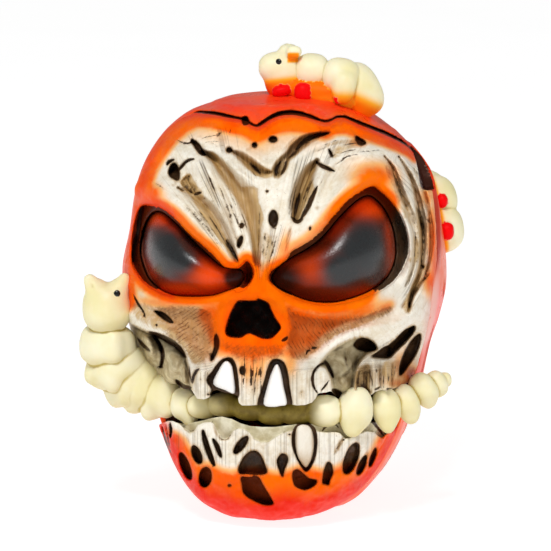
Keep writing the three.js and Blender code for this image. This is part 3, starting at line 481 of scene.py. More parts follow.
groove([(154, 336), (160, 345), (163, 355), (161, 367)], 5.5, 2.0, 0.95, 0.8, 0.3)
groove([(137, 338), (144, 346), (150, 351)], 5, 1.6, 0.85, 0.8, 0.3)
groove([(156, 367), (164, 367)], 3, 1.0, 0.7, 0.7)
groove([(176, 380), (183, 386), (191, 388)], 6, 1.8, 0.95, 0.6, 0.3)
groove([(189, 364), (190, 376), (192, 384)], 2.6, 0.8, 0.7, 0.6)
pit([(200, 368), (196, 375), (193, 384), (191.5, 379), (194.5, 370.5)], 2.0, 0.95, 0.6)
groove([(172, 356), (176, 362), (174, 370)], 2.2, 0.6, 0.35, 0.7)
pit([(216.5, 333), (219.5, 341), (218, 351), (212, 361.5), (210, 358), (214, 347), (214, 338)], 2.2, 0.9, 0.8)
groove([(207, 352), (212, 356), (214, 360)], 5, 0.9, 0.5, 0.8)
groove([(222, 336), (224, 346), (226, 352)], 2.0, 0.5, 0.3, 0.5)
# hatching under the sockets
for k in range(9):
    groove([(172 + 4 * k, 310 + 0.5 * k), (184 + 4 * k, 317 + 1.2 * k)], 1.4, 0.28, 0.0, 0.5)
    groove([(176 + 3 * k, 319 + 2.2 * k), (188 + 3 * k, 327 + 2.4 * k)], 1.4, 0.28, 0.0, 0.5)
for k in range(10):
    groove([(292 + 5 * k, 316 + 0.2 * k), (299 + 5 * k, 334 - 0.6 * k)], 1.7, 0.4, 0.2, 0.6)
    groove([(286 + 4.4 * k, 306 + 0.9 * k), (292 + 4.6 * k, 314 + 0.9 * k)], 1.4, 0.3, 0.1, 0.5)
groove([(300, 324), (316, 334), (334, 336)], 1.6, 0.35, 0.2, 0.5)
# ---- cheeks, right
pit([(320, 364), (331, 350), (345, 341.5), (360, 336.8), (371, 339.5), (377, 348), (369, 352), (361, 360), (356, 372), (352, 396), (336, 398), (331, 380), (326, 368)], 5.0, 0.0, 0.65, 2.2)
pit([(353, 345), (359, 338), (368, 338.5), (375, 344), (376, 350), (367, 352), (358, 349.5)], 2.4, 0.95, 0.8)
ridge([(334, 356), (344, 360), (350, 372)], 16, 2.8)
ridge([(340, 376), (346, 388)], 12, 2.4)
groove([(345, 350), (346, 362), (350, 372)], 3, 0.9, 0.45, 0.9)
groove([(334, 352), (344, 347)], 4, 0.5, 0.0, 0.7)
groove([(338, 380), (350, 370), (358, 358)], 3, 0.8, 0.4, 0.8)
pit([(370, 356), (384, 348), (396, 338), (408, 327.5), (415, 325.5), (413, 333), (404, 343), (395, 352), (389, 358), (380, 358)], 3.6, 0.7, 0.8, 2.0)
groove([(377, 353), (388, 347), (388, 356)], 5, 1.2, 0.85, 0.8)
groove([(395, 341), (406, 330), (413, 328)], 4, 1.0, 0.75, 0.8)
pit([(420, 333), (420, 342), (416, 353), (409, 364), (402, 374), (399, 375), (399, 366), (404, 352), (411, 340)], 3.4, 0.9, 0.8)
groove([(354, 388), (357, 372), (364, 361), (376, 352), (388, 344), (398, 336)], 3.2, -1.4, 0.0, 0.0)
groove([(404, 345), (411, 337), (415, 331)], 2.6, -0.9, 0.0, 0.0)
pit([(356, 388), (357.5, 372), (363, 366.5), (369, 366), (368, 385), (371, 393), (364, 392)], 1.8, 0.45, 0.95)
ridge([(374, 362), (375, 390)], 8, 1.6)
ridge([(386, 362), (387, 388)], 9, 1.6)
for pts in ([(370, 366), (370, 388)], [(380, 364), (380.5, 390)], [(392, 362), (392, 386)]):
    groove(pts, 3.2, 1.2, 0.5, 0.9)
groove([(358, 388), (366, 392), (371, 395)], 4, 1.2, 0.9, 0.7)
groove([(374, 390), (380, 387)], 3.5, 0.9, 0.8, 0.7)
groove([(386, 389), (392, 389)], 3.5, 0.9, 0.8, 0.7)
pit([(281, 340), (287.5, 336), (287.5, 339.5), (283, 342)], 1.4, 0.9, 0.5)
groove([(306, 356), (307.5, 351), (311, 351)], 3.2, 1.0, 0.9, 0.7)
groove([(311, 348.5), (317, 347.5)], 3.4, 1.0, 0.9, 0.7)
groove([(409, 374), (414, 376), (418, 369)], 3.4, 0.8, 0.55, 0.7)
hole(418, 369, 1.8, 1.6, 0, 1.0, 0.7)

# ---- upper teeth: dark arches round the two inset teeth, one more arch to the right
ARCH_L = [(229, 357), (234.5, 361), (237.5, 371), (239, 384), (238.5, 398), (224, 399), (210, 396), (211, 389), (206, 380), (212, 371), (220, 360.5)]
ARCH_R = [(276, 358.5), (284, 362), (288, 373), (290, 388), (292, 408), (276, 412), (259, 409), (258, 399), (262, 388), (266, 373), (270, 362)]
pit(ARCH_L, 3.6, 1.0, 0.5)
pit(ARCH_R, 3.6, 1.0, 0.5)
groove([(326, 362), (318, 366), (313, 374), (313, 385), (318, 394)], 3.4, 1.6, 0.95, 0.7, 0.3)
groove([(325, 361), (329, 368), (333, 377)], 5, 2.0, 0.95, 0.7, 0.3)
groove([(320, 392), (325, 386), (330, 379)], 2.6, 1.2, 0.9, 0.6)
pit([(331, 389), (338, 389.5), (343, 394), (340, 399), (335, 397)], 2.4, 1.0, 0.4)
groove([(322, 372), (324, 382)], 10, -0.8, 0.0, 0.0)
hole(242.5, 370.5, 3.3, 4.6, 0, 2.4)
hole(255, 361, 1.3, 1.3, 0, 0.8, 0.8)
for x, y0, y1, k in ((252, 366, 386, 0.6), (255.5, 372, 396, 0.7), (259, 368, 392, 0.6), (247, 378, 383, 0.5), (262, 364, 378, 0.5), (244, 378, 382, 0.8)):
    groove([(x, y0), (x - 0.8, (y0 + y1) / 2), (x - 1.2, y1)], 2.0, 0.6, k, 0.6)
groove([(299, 398), (299.5, 393), (302.5, 391.5), (304.5, 394), (304, 398.5), (307, 399)], 2.0, 0.6, 0.35, 0.8)
hole(208, 394.5, 1.4, 1.3, 0, 0.8, 0.8)
groove([(206, 372), (210, 378)], 3, 0.6, 0.3, 0.7)
groove([(297, 352), (298, 370)], 2, 0.4, 0.0, 0.4)



def strands(A, B, n, w, depth, wash, dark=0.2, seed=1):
    """fine lines running between two flow curves, each with its own start and end"""
    r = np.random.default_rng(seed)
    A, B = curve(A, n=5), curve(B, n=5)
    t = np.linspace(0, 1, 12)

    def at(C, x):
        L = np.concatenate([[0], np.cumsum(np.hypot(*np.diff(C, axis=0).T))])
        L /= L[-1]
        return np.stack([np.interp(x, L, C[:, 0]), np.interp(x, L, C[:, 1])], -1)

    for k in range(n):
        f = (k + r.uniform(0.1, 0.9)) / n
        t0 = r.uniform(0, 0.55)
        t1 = min(1.0, t0 + r.uniform(0.25, 0.6))
        x = t0 + (t1 - t0) * t
        fw = np.clip(f + r.uniform(-0.06, 0.06) * t, 0, 1)[:, None]
        P = at(A, x) * (1 - fw) + at(B, x) * fw
        groove(P, w * r.uniform(0.7, 1.3), depth * r.uniform(0.6, 1.3), dark * r.uniform(0.2, 1.4), wash * r.uniform(0.6, 1.2), smooth=False)


strands([(194, 160), (207, 190), (221, 220), (234, 252)], [(222, 168), (236, 195), (246, 222), (252, 252)], 20, 2.0, 0.5, 0.5, 0.4, 1)
strands([(148, 182), (173, 198), (198, 222), (221, 254)], [(178, 192), (200, 206), (216, 226), (232, 256)], 15, 1.8, 0.4, 0.45, 0.45, 2)
strands([(256, 196), (256, 240), (252, 284)], [(287, 222), (277, 255), (266, 284)], 17, 2.0, 0.5, 0.5, 0.4, 3)
strands([(300, 160), (291, 190), (287, 228)], [(334, 165), (320, 190), (306, 228)], 12, 1.9, 0.45, 0.45, 0.5, 4)
strands([(386, 158), (402, 190), (413, 225), (413, 262), (404, 300)], [(416, 168), (427, 200), (433, 235), (431, 265), (420, 304)], 22, 2.0, 0.32, 0.4, 0.38, 5)
strands([(308, 152), (335, 140), (366, 134)], [(322, 172), (350, 156), (390, 152)], 12, 1.8, 0.4, 0.5, 0.5, 6)
strands([(190, 138), (208, 132), (233, 128)], [(198, 150), (212, 146), (234, 152)], 12, 1.7, 0.35, 0.4, 0.5, 7)
strands([(150, 299), (176, 308), (198, 330), (206, 362)], [(204, 300), (213, 318), (217, 338), (214, 364)], 26, 1.5, 0.3, 0.55, 0.05, 8)
strands([(284, 300), (290, 326), (298, 352)], [(356, 312), (346, 328), (328, 346)], 22, 1.6, 0.35, 0.6, 0.15, 9)
strands([(178, 436), (200, 474)], [(282, 440), (278, 478)], 26, 1.7, 0.3, 0.45, 0.1, 10)
strands([(276, 440), (286, 478)], [(392, 432), (366, 476)], 26, 1.7, 0.3, 0.45, 0.1, 11)
strands([(195, 345), (197, 396)], [(211, 350), (209, 394)], 8, 1.6, 0.3, 0.4, 0.4, 12)
strands([(240, 345), (240, 402)], [(263, 345), (261, 402)], 12, 1.8, 0.4, 0.5, 0.62, 13)
strands([(291, 348), (292, 402)], [(314, 358), (314, 400)], 11, 1.7, 0.35, 0.45, 0.4, 14)
strands([(356, 362), (358, 390)], [(396, 358), (394, 388)], 17, 1.8, 0.4, 0.6, 0.55, 15)
strands([(222, 332), (232, 358)], [(288, 338), (282, 360)], 16, 1.4, 0.25, 0.5, 0.1, 16)

# ---- jaw
slot((193, 445), (201, 464), 9.5, 3.0)
groove([(203, 431), (205, 440), (209, 452), (214, 465)], 7.5, 3.0, 1.0, 0.7, 0.25)
groove([(213, 439), (217, 446), (221, 457)], 6.5, 2.6, 1.0, 0.7, 0.3)
slot((248, 436), (234, 454), 9.0, 3.0)
slot((180.5, 452), (191, 480), 9.0, 2.8)
hole(205.5, 477, 6.6, 10.6, 6, 3.0, 0.9)
pit([(238, 469), (240, 463), (245, 455), (253, 450), (260, 453.5), (265, 464), (267, 473), (258, 475), (248, 474), (240, 474)], 3.4, 0.95)
pit([(241, 476.5), (249, 477), (258, 476), (264, 486), (271, 497), (273.5, 504), (264, 505), (252, 500), (244, 494), (241.5, 484)], 3.2, 0.85)
groove([(241, 475), (252, 476), (266, 475)], 3, -0.8, 0.0, 0.0)
pit([(276.5, 462), (279, 455.5), (283, 453), (287.5, 456), (288, 462), (285, 469), (283, 477.5), (280, 473)], 3.0, 0.95)
pit([(292, 477), (293, 471), (297.5, 469), (302, 472), (309, 478), (317, 480), (314, 486), (305, 490), (296, 487), (293.5, 483)], 3.0, 0.95)
groove([(296, 479), (303, 477)], 2.5, -0.8, 0.0, 0.0)
pit([(322, 483), (323, 473), (326, 463.5), (329, 461.5), (332, 465), (333, 473), (330, 480), (328, 485), (325, 484)], 2.8, 0.95)
groove([(328, 482), (330, 487)], 2, 0.5, 0.5, 0.3)
slot((357, 442), (345, 474), 13.5, 3.0, 0.9)
slot((366, 455), (357, 475), 7.0, 2.4, 0.95)
groove([(368, 450), (364, 460)], 4, 0.8, 0.3, 0.6)
slot((376, 447), (369, 467), 5.5, 2.0, 0.85)
groove([(344, 437), (338, 447), (334, 454)], 5, 1.0, 0.45, 0.8)
groove([(343, 439), (344.5, 441)], 3.5, 0.8, 0.8, 0.5)
hole(229.5, 485.5, 2.4, 2.0, 0, 1.0, 0.6)
hole(289.5, 434.5, 1.7, 1.2, 15, 0.9, 0.8)
groove([(162, 426), (165, 437), (168, 447), (172, 454)], 4, 1.4, 0.6, 0.6, 0.3)
groove([(166, 424), (168, 437), (170, 447)], 3, 1.2, 0.5, 0.6, 0.3)
groove([(170, 422), (171, 430), (170.5, 438)], 4.5, 1.6, 0.85, 0.6)
groove([(183, 425), (189, 431), (196, 430)], 4, 1.0, 0.4, 0.8)
groove([(200, 440), (205, 440)], 3, 0.5, 0.4, 0.4)
groove([(186, 436), (190, 444)], 4, 0.6, 0.1, 0.6)
groove([(213, 423), (215.5, 432), (221, 439.5), (228, 439), (232.5, 432)], 2.6, 0.8, 0.5, 0.9, 0.3, False)
groove([(236, 424), (246, 427), (262, 428.5), (280, 427.5), (294, 425)], 4.0, 0.6, 0.0, 0.9, 0.3)
groove([(322, 431), (327, 425.5), (333, 422.5), (339, 428)], 3.4, 0.9, 0.8, 0.9, 0.3)
groove([(361, 432), (366, 424), (371, 420), (377, 427), (383, 435)], 5.0, 1.2, 0.75, 0.9, 0.3)
TOOTH_SLOT = [(293.5, 429), (297, 424), (303, 421), (311, 424), (316, 430), (317.5, 441), (316.5, 453), (313, 464), (306.5, 472), (301, 467), (295.5, 457), (292, 446), (291.5, 437)]
pit(TOOTH_SLOT, 3.2, 1.0, 0.5)
groove([(262, 446), (264, 450)], 3, 0.4, 0.0, 0.4)

# ---- broad stained hollows between the ropes of bone
TAN = new_map()
HATCH = new_map()


def stain(pts, k=1.0, soft=3.0, depth=0.0, hatch=0.0):
    sd = outline_sd(pts, 16)
    m = ss(soft, -soft, sd)
    TAN[:] = np.maximum(TAN, k * m)
    HGT[:] -= depth * m
    if hatch:
        HATCH[:] = np.maximum(HATCH, hatch * ss(5.0, -4.0, sd))


stain([(206, 152), (214, 153), (222, 160), (232, 173), (241, 186), (252, 186), (258, 190), (259, 202), (263, 213), (262, 228), (259, 245), (257, 262), (253, 262), (252, 245), (249, 228), (243, 212), (236, 198), (226, 184), (218, 172), (211, 160)], 0.95, 2.6, 1.5)
stain([(192, 197), (200, 200), (208, 206), (216, 217), (222, 229), (229, 243), (236, 259), (232, 260), (224, 246), (215, 234), (207, 222), (199, 211)], 0.95, 2.4, 1.2)
stain([(182, 178), (190, 174), (198, 186), (204, 197), (200, 202), (191, 196), (183, 187)], 0.8, 2.4, 0.6)
stain([(240, 156), (250, 159), (262, 166), (271, 171), (272, 177), (262, 178), (253, 173), (245, 165)], 1.0, 2.0, 0.8)
stain([(313, 161), (307, 172), (301, 188), (296, 198), (292, 212), (292, 220), (300, 222), (308, 208), (316, 190), (312, 180), (316, 168)], 0.9, 2.4, 0.8)
stain([(336, 147), (350, 140), (362, 141), (360, 147), (346, 152), (336, 160), (331, 155)], 0.55, 3.0, 0.5)
stain([(262, 232), (270, 232), (274, 246), (270, 262), (262, 274), (257, 262)], 0.55, 3.0, 0.3)
stain([(386, 160), (394, 170), (402, 190), (409, 208), (413, 226), (406, 222), (400, 206), (393, 188), (386, 172)], 0.6, 3.0, 0.4)
stain([(413, 192), (419, 206), (424, 224), (424, 246), (418, 262), (412, 268), (412, 248), (416, 232), (415, 212)], 0.62, 3.6, 0.35)
stain([(428, 262), (430, 272), (420, 286), (413, 298), (411, 312), (404, 312), (404, 300), (412, 284), (420, 272)], 0.75, 3.0, 0.5)
stain([(158, 308), (200, 308), (212, 318), (212, 340), (206, 358), (196, 364), (188, 356), (178, 343), (166, 333), (174, 325), (166, 314)], 0.95, 5.0, 0.5, 1.0)
stain([(134, 303), (150, 305), (168, 318), (172, 330), (158, 330), (140, 322), (132, 312)], 0.68, 4.0, 0.0)
stain([(288, 309), (300, 316), (330, 320), (362, 317), (384, 308), (392, 310), (372, 321), (352, 329), (334, 337), (318, 349), (306, 358), (293, 358), (287, 344), (292, 328)], 1.0, 4.0, 0.6, 1.0)
stain([(226, 342), (250, 346), (276, 344), (286, 350), (280, 358), (262, 362), (246, 362), (236, 358), (228, 352)], 0.5, 4.0, 0.0, 0.5)
stain([(382, 362), (398, 360), (412, 366), (420, 376), (408, 386), (392, 388), (384, 378)], 0.8, 4.0, 0.0)

# fine broken surface, so that the bone isn't smooth
rng = np.random.default_rng(7)
for s, amp in ((9.0, 0.34), (3.6, 0.18), (1.3, 0.09)):
    n = rng.standard_normal((MH // 2, MW // 2)).astype(np.float32)
    n = np.repeat(np.repeat(n, 2, 0), 2, 1)
    n = blur(n, s)
    HGT += amp * n / n.std()
HGT = blur(HGT, 0.55)
DARK = blur(DARK, 0.4)
CAVITY = blur(HGT, 3.2) - HGT
WASH = np.maximum(blur(WASH, 1.1), ss(0.2, 1.6, CAVITY) * 0.85)
WASH = np.maximum(WASH, 0.55 * ss(0.3, 3.0, blur(HGT, 9.0) - HGT))
HUMP = ss(0.15, 1.0, -CAVITY)

STONE = new_map()        # grey olive stones in the cheek hollows


def stone(pts, k=1.0):
    P = curve(pts, True)
    win = window(P, 8)
    d, _, inside = dist_to(GU[win], GV[win], P, True)
    STONE[win] = np.maximum(STONE[win], k * ss(1.0, -2.5, np.where(inside, -d, d)))


TAN = blur(TAN, 1.0)
FINE = new_map()
for poly, k in (([(198, 164), (208, 166), (216, 182), (222, 202), (216, 208), (208, 196)], 0.9), ([(230, 162), (244, 168), (262, 182), (256, 188), (240, 178)], 0.3), ([(258, 226), (284, 228), (276, 262), (262, 282), (254, 262)], 0.75),
                ([(296, 162), (314, 158), (312, 184), (300, 206), (290, 214), (292, 184)], 0.7), ([(388, 160), (414, 168), (432, 220), (430, 262), (412, 310), (402, 306), (412, 260), (404, 206)], 0.5),
                ([(244, 360), (266, 360), (264, 400), (242, 400)], 0.9), ([(356, 362), (396, 358), (394, 390), (356, 390)], 0.8), ([(190, 200), (204, 212), (222, 246), (214, 244), (196, 222)], 0.5),
                ([(180, 432), (376, 432), (352, 462), (300, 470), (204, 462)], 0.35), ([(195, 352), (212, 358), (210, 394), (196, 392)], 0.5), ([(290, 352), (314, 362), (314, 400), (292, 402)], 0.4),
                ([(190, 134), (234, 129), (236, 150), (222, 152), (198, 146)], 0.45), ([(308, 150), (346, 142), (350, 156), (320, 168)], 0.4)):
    FINE = np.maximum(FINE, k * ss(4.0, -3.0, outline_sd(poly, 12)))
stone([(112, 326), (131, 324.5), (148, 331.5), (165, 337.5), (178, 344.5), (185, 352.5), (188, 363), (189.5, 376), (192, 390), (184, 394), (160, 396), (130, 392), (112, 360)])
stone([(320, 364), (331, 350), (345, 341.5), (360, 336.8), (371, 339.5), (377, 348), (369, 352), (361, 360), (356, 372), (352, 396), (336, 398), (331, 380), (326, 368)])
stone([(370, 356), (384, 348), (396, 338), (408, 327.5), (415, 325.5), (413, 333), (404, 343), (395, 352), (389, 358), (380, 358)])
stone([(420, 333), (420, 342), (416, 353), (409, 364), (402, 374), (399, 375), (399, 366), (404, 352), (411, 340)], 0.9)


# ---- paint masks
ORANGE = new_map()


def add_orange(m):
    ORANGE[:] = np.maximum(ORANGE, m)


def blob(cx, cy, rx, ry, k=1.0, ang=0.0):
    c, s = math.cos(math.radians(ang)), math.sin(math.radians(ang))
    x, y = (GU - cx) * c + (GV - cy) * s, -(GU - cx) * s + (GV - cy) * c
    return (k * np.exp(-((x / rx) ** 2 + (y / ry) ** 2))).astype(np.float32)


for cx, cy, rx, ry, k, a in ((192, 326, 24, 20, 0.62, 20), (208, 346, 10, 18, 0.6, 15), (162, 318, 18, 9, 0.35, 15), (312, 328, 30, 14, 0.55, -8), (300, 346, 18, 10, 0.5, -25),
                             (340, 320, 24, 9, 0.5, 5), (226, 180, 13, 26, 0.45, -38), (250, 205, 8, 34, 0.55, -18), (214, 222, 7, 30, 0.5, -32), (190, 184, 8, 12, 0.4, -30),
                             (300, 195, 7, 24, 0.5, 20), (246, 160, 16, 6, 0.45, 30), (296, 150, 16, 7, 0.45, -45), (405, 200, 9, 34, 0.35, -16), (418, 250, 6, 26, 0.4, 5),
                             (375, 375, 20, 15, 0.5, 0), (404, 368, 14, 14, 0.5, 0), (330, 382, 10, 12, 0.4, 0), (345, 146, 20, 7, 0.35, -12), (250, 352, 26, 8, 0.3, 0),
                             (204, 378, 5, 14, 0.25, 0), (300, 375, 8, 20, 0.2, 0), (262, 384, 4, 18, 0.35, 5), (186, 440, 12, 10, 0.3, 0), (362, 440, 22, 8, 0.3, 0)):
    WASH[:] = np.maximum(WASH, blob(cx, cy, rx, ry, k, a))
crack_y = np.interp(GU, [p[0] for p in CRACK], [p[1] for p in CRACK]).astype(np.float32)
inside_x = ((GU > 150) & (GU < 425)).astype(np.float32)
band_w = np.interp(GU, [150, 185, 230, 290, 345, 380, 400, 420], [14, 14, 17, 20, 17, 14, 12, 9]).astype(np.float32)
add_orange(ss(1.35 * band_w, 0.7 * band_w, GV - crack_y) * inside_x)
add_orange(0.3 * ss(2.6, 1.0, (GV - crack_y) / band_w) * inside_x * ss(345, 300, GU))
LEFT_EDGE = np.array([(215, 112), (200, 111), (181, 121), (166, 134), (155, 151), (147, 168), (142, 184), (136, 205), (131, 228), (127, 262), (125, 282), (126, 300)], float)
d_left = dist_to(GU, GV, LEFT_EDGE, False)[0]
add_orange(ss(19, 8, d_left + 3 * ss(140, 175, GV)))
add_orange(ss(13, 2, SD_L))
add_orange(ss(14 + 5 * ss(270, 300, GV), 2, SD_R) * ss(408, 392, GU + 0.25 * (GV - 200)) * np.clip(0.55 + 0.45 * ss(240, 200, GV) + 0.45 * ss(245, 275, GV), 0, 1))
add_orange(ss(26, 8, SD_N))
add_orange(blob(374, 178, 22, 15, 1.0))
add_orange(blob(325, 228, 18, 8, 0.7, -40))
add_orange(blob(358, 142, 9, 5, 0.6))
add_orange(blob(256, 288, 16, 20, 1.0))
add_orange(blob(255, 347, 36, 13, 1.1))
add_orange(np.clip(blob(252, 360, 17, 24, 1.0) * (0.6 + 0.4 * np.sin(GU * 1.15 + 0.4)), 0, 1))
add_orange(blob(290, 362, 8, 16, 0.5))
add_orange(blob(222, 348, 10, 10, 0.7))
add_orange(blob(290, 352, 14, 10, 0.7))
add_orange(blob(150, 192, 14, 10, 0.95, 30))
add_orange(blob(404, 366, 12, 18, 0.5))
add_orange(0.85 * ss(6, -8, outline_sd([(284, 300), (304, 308), (336, 312), (370, 308), (390, 300), (392, 308), (366, 318), (342, 326), (324, 336), (308, 348), (292, 352), (284, 336)], 24)))
add_orange(0.24 * ss(5, -6, outline_sd([(158, 302), (204, 302), (214, 320), (210, 348), (200, 360), (184, 342), (168, 328)], 24)))
add_orange(blob(206, 314, 10, 16, 0.8, 8))
add_orange(blob(360, 310, 26, 10, 0.8, -15))
add_orange(blob(214, 315, 14, 24, 0.85, 10))
add_orange(blob(300, 345, 22, 12, 0.75, -20))
add_orange(blob(428, 196, 10, 12, 0.55))
add_orange(blob(433, 235, 6, 40, 0.7))
add_orange(blob(430, 282, 7, 16, 0.75))
add_orange(blob(283, 252, 6, 22, 0.6, 10))
add_orange(blob(415, 375, 16, 9, 0.8))
add_orange(blob(208, 350, 8, 14, 0.35))
add_orange(blob(400, 383, 16, 6, 0.5))
add_orange(blob(160, 303, 30, 6, 0.6, 8))
RED = new_map()
RED[:] = np.maximum(RED, ss(9, 2, GV - crack_y) * 0.75 * ((GU > 150) & (GU < 425)))
RED[:] = np.maximum(RED, 0.45 * ss(6, 0, d_left))
RED[:] = np.maximum(RED, ss(18, 4, GV - crack_y) * ss(345, 385, GU) * 0.45 * (GU < 425))
RED[:] = np.maximum(RED, blob(228, 318, 5, 16, 0.5, 18))
RED[:] = np.maximum(RED, blob(153, 203, 10, 6, 0.5))
RED[:] = np.maximum(RED, blob(232, 345, 12, 12, 0.35))
RED[:] = np.maximum(RED, blob(238, 310, 14, 14, 0.35))
RED[:] = np.maximum(RED, blob(436, 285, 6, 60, 0.8))
RED[:] = np.maximum(RED, blob(432, 335, 7, 30, 0.5))
RED[:] = np.maximum(RED, 0.6 * ss(5, 1, SD_L) * (GU < 175))
# jaw: bone, then orange, then red downward and to the sides
d_jaw = np.minimum(dist_to(GU, GV, np.array([(150, 405), (156, 425), (163, 440), (175, 460), (185, 480), (202, 500), (235, 515)], float), False)[0],
                   dist_to(GU, GV, np.array([(404, 405), (402, 425), (397, 440), (388, 460), (374, 480), (341, 500), (290, 515)], float), False)[0])
JAW_V = GV + 0.0008 * (GU - 272) ** 2
JAW_ORANGE = np.maximum(ss(460, 480, JAW_V + 3 * np.sin(GU * 0.13)), ss(26, 11, d_jaw) * ss(424, 440, GV))
JAW_RED = np.maximum(ss(478, 512, JAW_V + 4 * np.sin(GU * 0.09 + 1)), 0.9 * ss(17, 5, d_jaw))
ORANGE = blur(ORANGE, 1.6)
RED = blur(RED, 1.6)

# grain of the bone: distance across the strands, px
def grain(u, v):
    up = np.arctan2(u - 262, 305 - v) * 110.0
    temple = np.hypot(u - 345, (v - 250) * 0.95)
    left = np.arctan2(u - 190 + 0.35 * (v - 255), v - 235) * 80.0
    right = np.arctan2(u - 335, v - 235) * 80.0
    down = u
    w_t = ss(378, 400, u) * ss(140, 165, v) * ss(335, 305, v)
    w_u = ss(306, 280, v) * (1 - w_t)
    w_v = np.maximum(ss(350, 372, v), ss(205, 225, u) * ss(300, 282, u) * ss(300, 330, v))
    w_l = ss(280, 306, v) * ss(226, 206, u) * (1 - w_v)
    w_r = ss(280, 306, v) * ss(280, 302, u) * (1 - w_v) * (1 - w_t)
    tot = w_t + w_u + w_v + w_l + w_r + 1e-6
    return (w_t * temple + w_u * up + w_v * down + w_l * left + w_r * right) / tot


# ============================================================== meshing
OFFS = np.array([[(c >> 2) & 1, (c >> 1) & 1, c & 1] for c in range(8)])
EDGES = [(a, b) for a in range(8) for b in range(a + 1, 8) if bin(a ^ b).count("1") == 1]


def surface_nets(S, org, h):
    inside = S < 0
    cnt = np.zeros(tuple(n - 1 for n in S.shape), np.int8)
    nx, ny, nz = S.shape
    for dx, dy, dz in OFFS:
        cnt += inside[dx:nx - 1 + dx, dy:ny - 1 + dy, dz:nz - 1 + dz]
    cells = np.argwhere((cnt > 0) & (cnt < 8))
    idx = np.full(cnt.shape, -1, np.int32)
    idx[tuple(cells.T)] = np.arange(len(cells))
    corner = np.stack([S[tuple((cells + o).T)] for o in OFFS], 1)
    pos = np.zeros((len(cells), 3), np.float64)
    num = np.zeros(len(cells))
    for a, b in EDGES:
        va, vb = corner[:, a], corner[:, b]
        m = (va < 0) != (vb < 0)
        t = np.where(m, va / np.where(m, va - vb, 1), 0)
        p = OFFS[a] + t[:, None] * (OFFS[b] - OFFS[a])
        pos += np.where(m[:, None], p, 0)
        num += m
    verts = org + h * (cells + pos / num[:, None])
    quads = []
    for ax in range(3):
        sl0 = [slice(None)] * 3
        sl1 = [slice(None)] * 3
        sl0[ax], sl1[ax] = slice(0, -1), slice(1, None)
        a_in, b_in = inside[tuple(sl0)], inside[tuple(sl1)]
        e = np.argwhere(a_in != b_in)
        o1, o2 = [k for k in range(3) if k != ax]
        ok = (e[:, o1] > 0) & (e[:, o2] > 0) & (e[:, o1] < S.shape[o1] - 1) & (e[:, o2] < S.shape[o2] - 1)
        e = e[ok]
        flip = a_in[tuple(e.T)]

        def cell(d1, d2):
            c = e.copy()
            c[:, o1] -= d1
            c[:, o2] -= d2
            return idx[tuple(c.T)]

        q = np.stack([cell(1, 1), cell(0, 1), cell(0, 0), cell(1, 0)], 1)
        if ax == 1:
            flip = ~flip
        q[~flip] = q[~flip][:, ::-1]
        quads.append(q)
    return verts, np.concatenate(quads)


def grid_of(lo, hi, h):
    n = np.ceil((np.array(hi, float) - np.array(lo, float)) / h).astype(int) + 1
    return np.array(lo, float), n


def mesh_field(field, lo, hi, h, near, refine=1):
    """field(points) -> signed value; near(base distance) -> cells worth testing"""
    org, n = grid_of(lo, hi, h)
    ax = [org[k] + h * np.arange(n[k]) for k in range(3)]
    D = BASE_D
    for k in range(3):
        q = np.clip((ax[k] - G0[k]) / GP, 0, GN[k] - 1.001)
        i = q.astype(int)
        f = (q - i).astype(np.float32).reshape([-1 if j == k else 1 for j in range(3)])
        D = np.take(D, i, k) * (1 - f) + np.take(D, i + 1, k) * f
    m = near(D)
    S = np.full(D.shape, 5.0, np.float32)
    ids = np.flatnonzero(m)
    for part in np.array_split(ids, max(1, len(ids) // 400000)):
        i, j, k = np.unravel_index(part, D.shape)
        S.reshape(-1)[part] = field(np.stack([ax[0][i], ax[1][j], ax[2][k]], 1))
    v, q = surface_nets(S, org, h)
    for _ in range(refine):
        s0 = field(v)
        g = np.zeros_like(v)
        e = 0.12
        for k in range(3):
            d = np.zeros(3)
            d[k] = e
            g[:, k] = (field(v + d) - field(v - d)) / (2 * e)
        g2 = np.maximum((g * g).sum(1), 0.25)
        step = (-s0 / g2)[:, None] * g
        ln = np.linalg.norm(step, axis=1, keepdims=True)
        v = v + step * np.minimum(1, 0.45 * h / np.maximum(ln, 1e-9))
    return v, q


def smin(a, b, k):
    h = np.clip(0.5 + 0.5 * (b - a) / k, 0, 1)
    return b * (1 - h) + a * h - k * h * (1 - h)


def smax(a, b, k):
    return -smin(-a, -b, k)


def make_object(name, verts, quads, attrs=None, smooth=True):
    """closed mesh from skull coordinates"""
    me = bpy.data.meshes.new(name)
    v = ((verts + SHIFT) / 1000.0).astype(np.float32)
    me.vertices.add(len(v))
    me.vertices.foreach_set("co", v.ravel())
    me.loops.add(quads.size)
    me.loops.foreach_set("vertex_index", quads.astype(np.int32).ravel())
    me.polygons.add(len(quads))
    k = quads.shape[1]
    me.polygons.foreach_set("loop_start", np.arange(0, quads.size, k, dtype=np.int32))
    me.polygons.foreach_set("use_smooth", np.full(len(quads), smooth, bool))
    for key, val in (attrs or {}).items():
        at = me.attributes.new(key, "FLOAT", "POINT")
        at.data.foreach_set("value", np.asarray(val, np.float32))
    me.update(calc_edges=True)
    me.validate()
    ob = bpy.data.objects.new(name, me)
    scene.collection.objects.link(ob)
    return ob


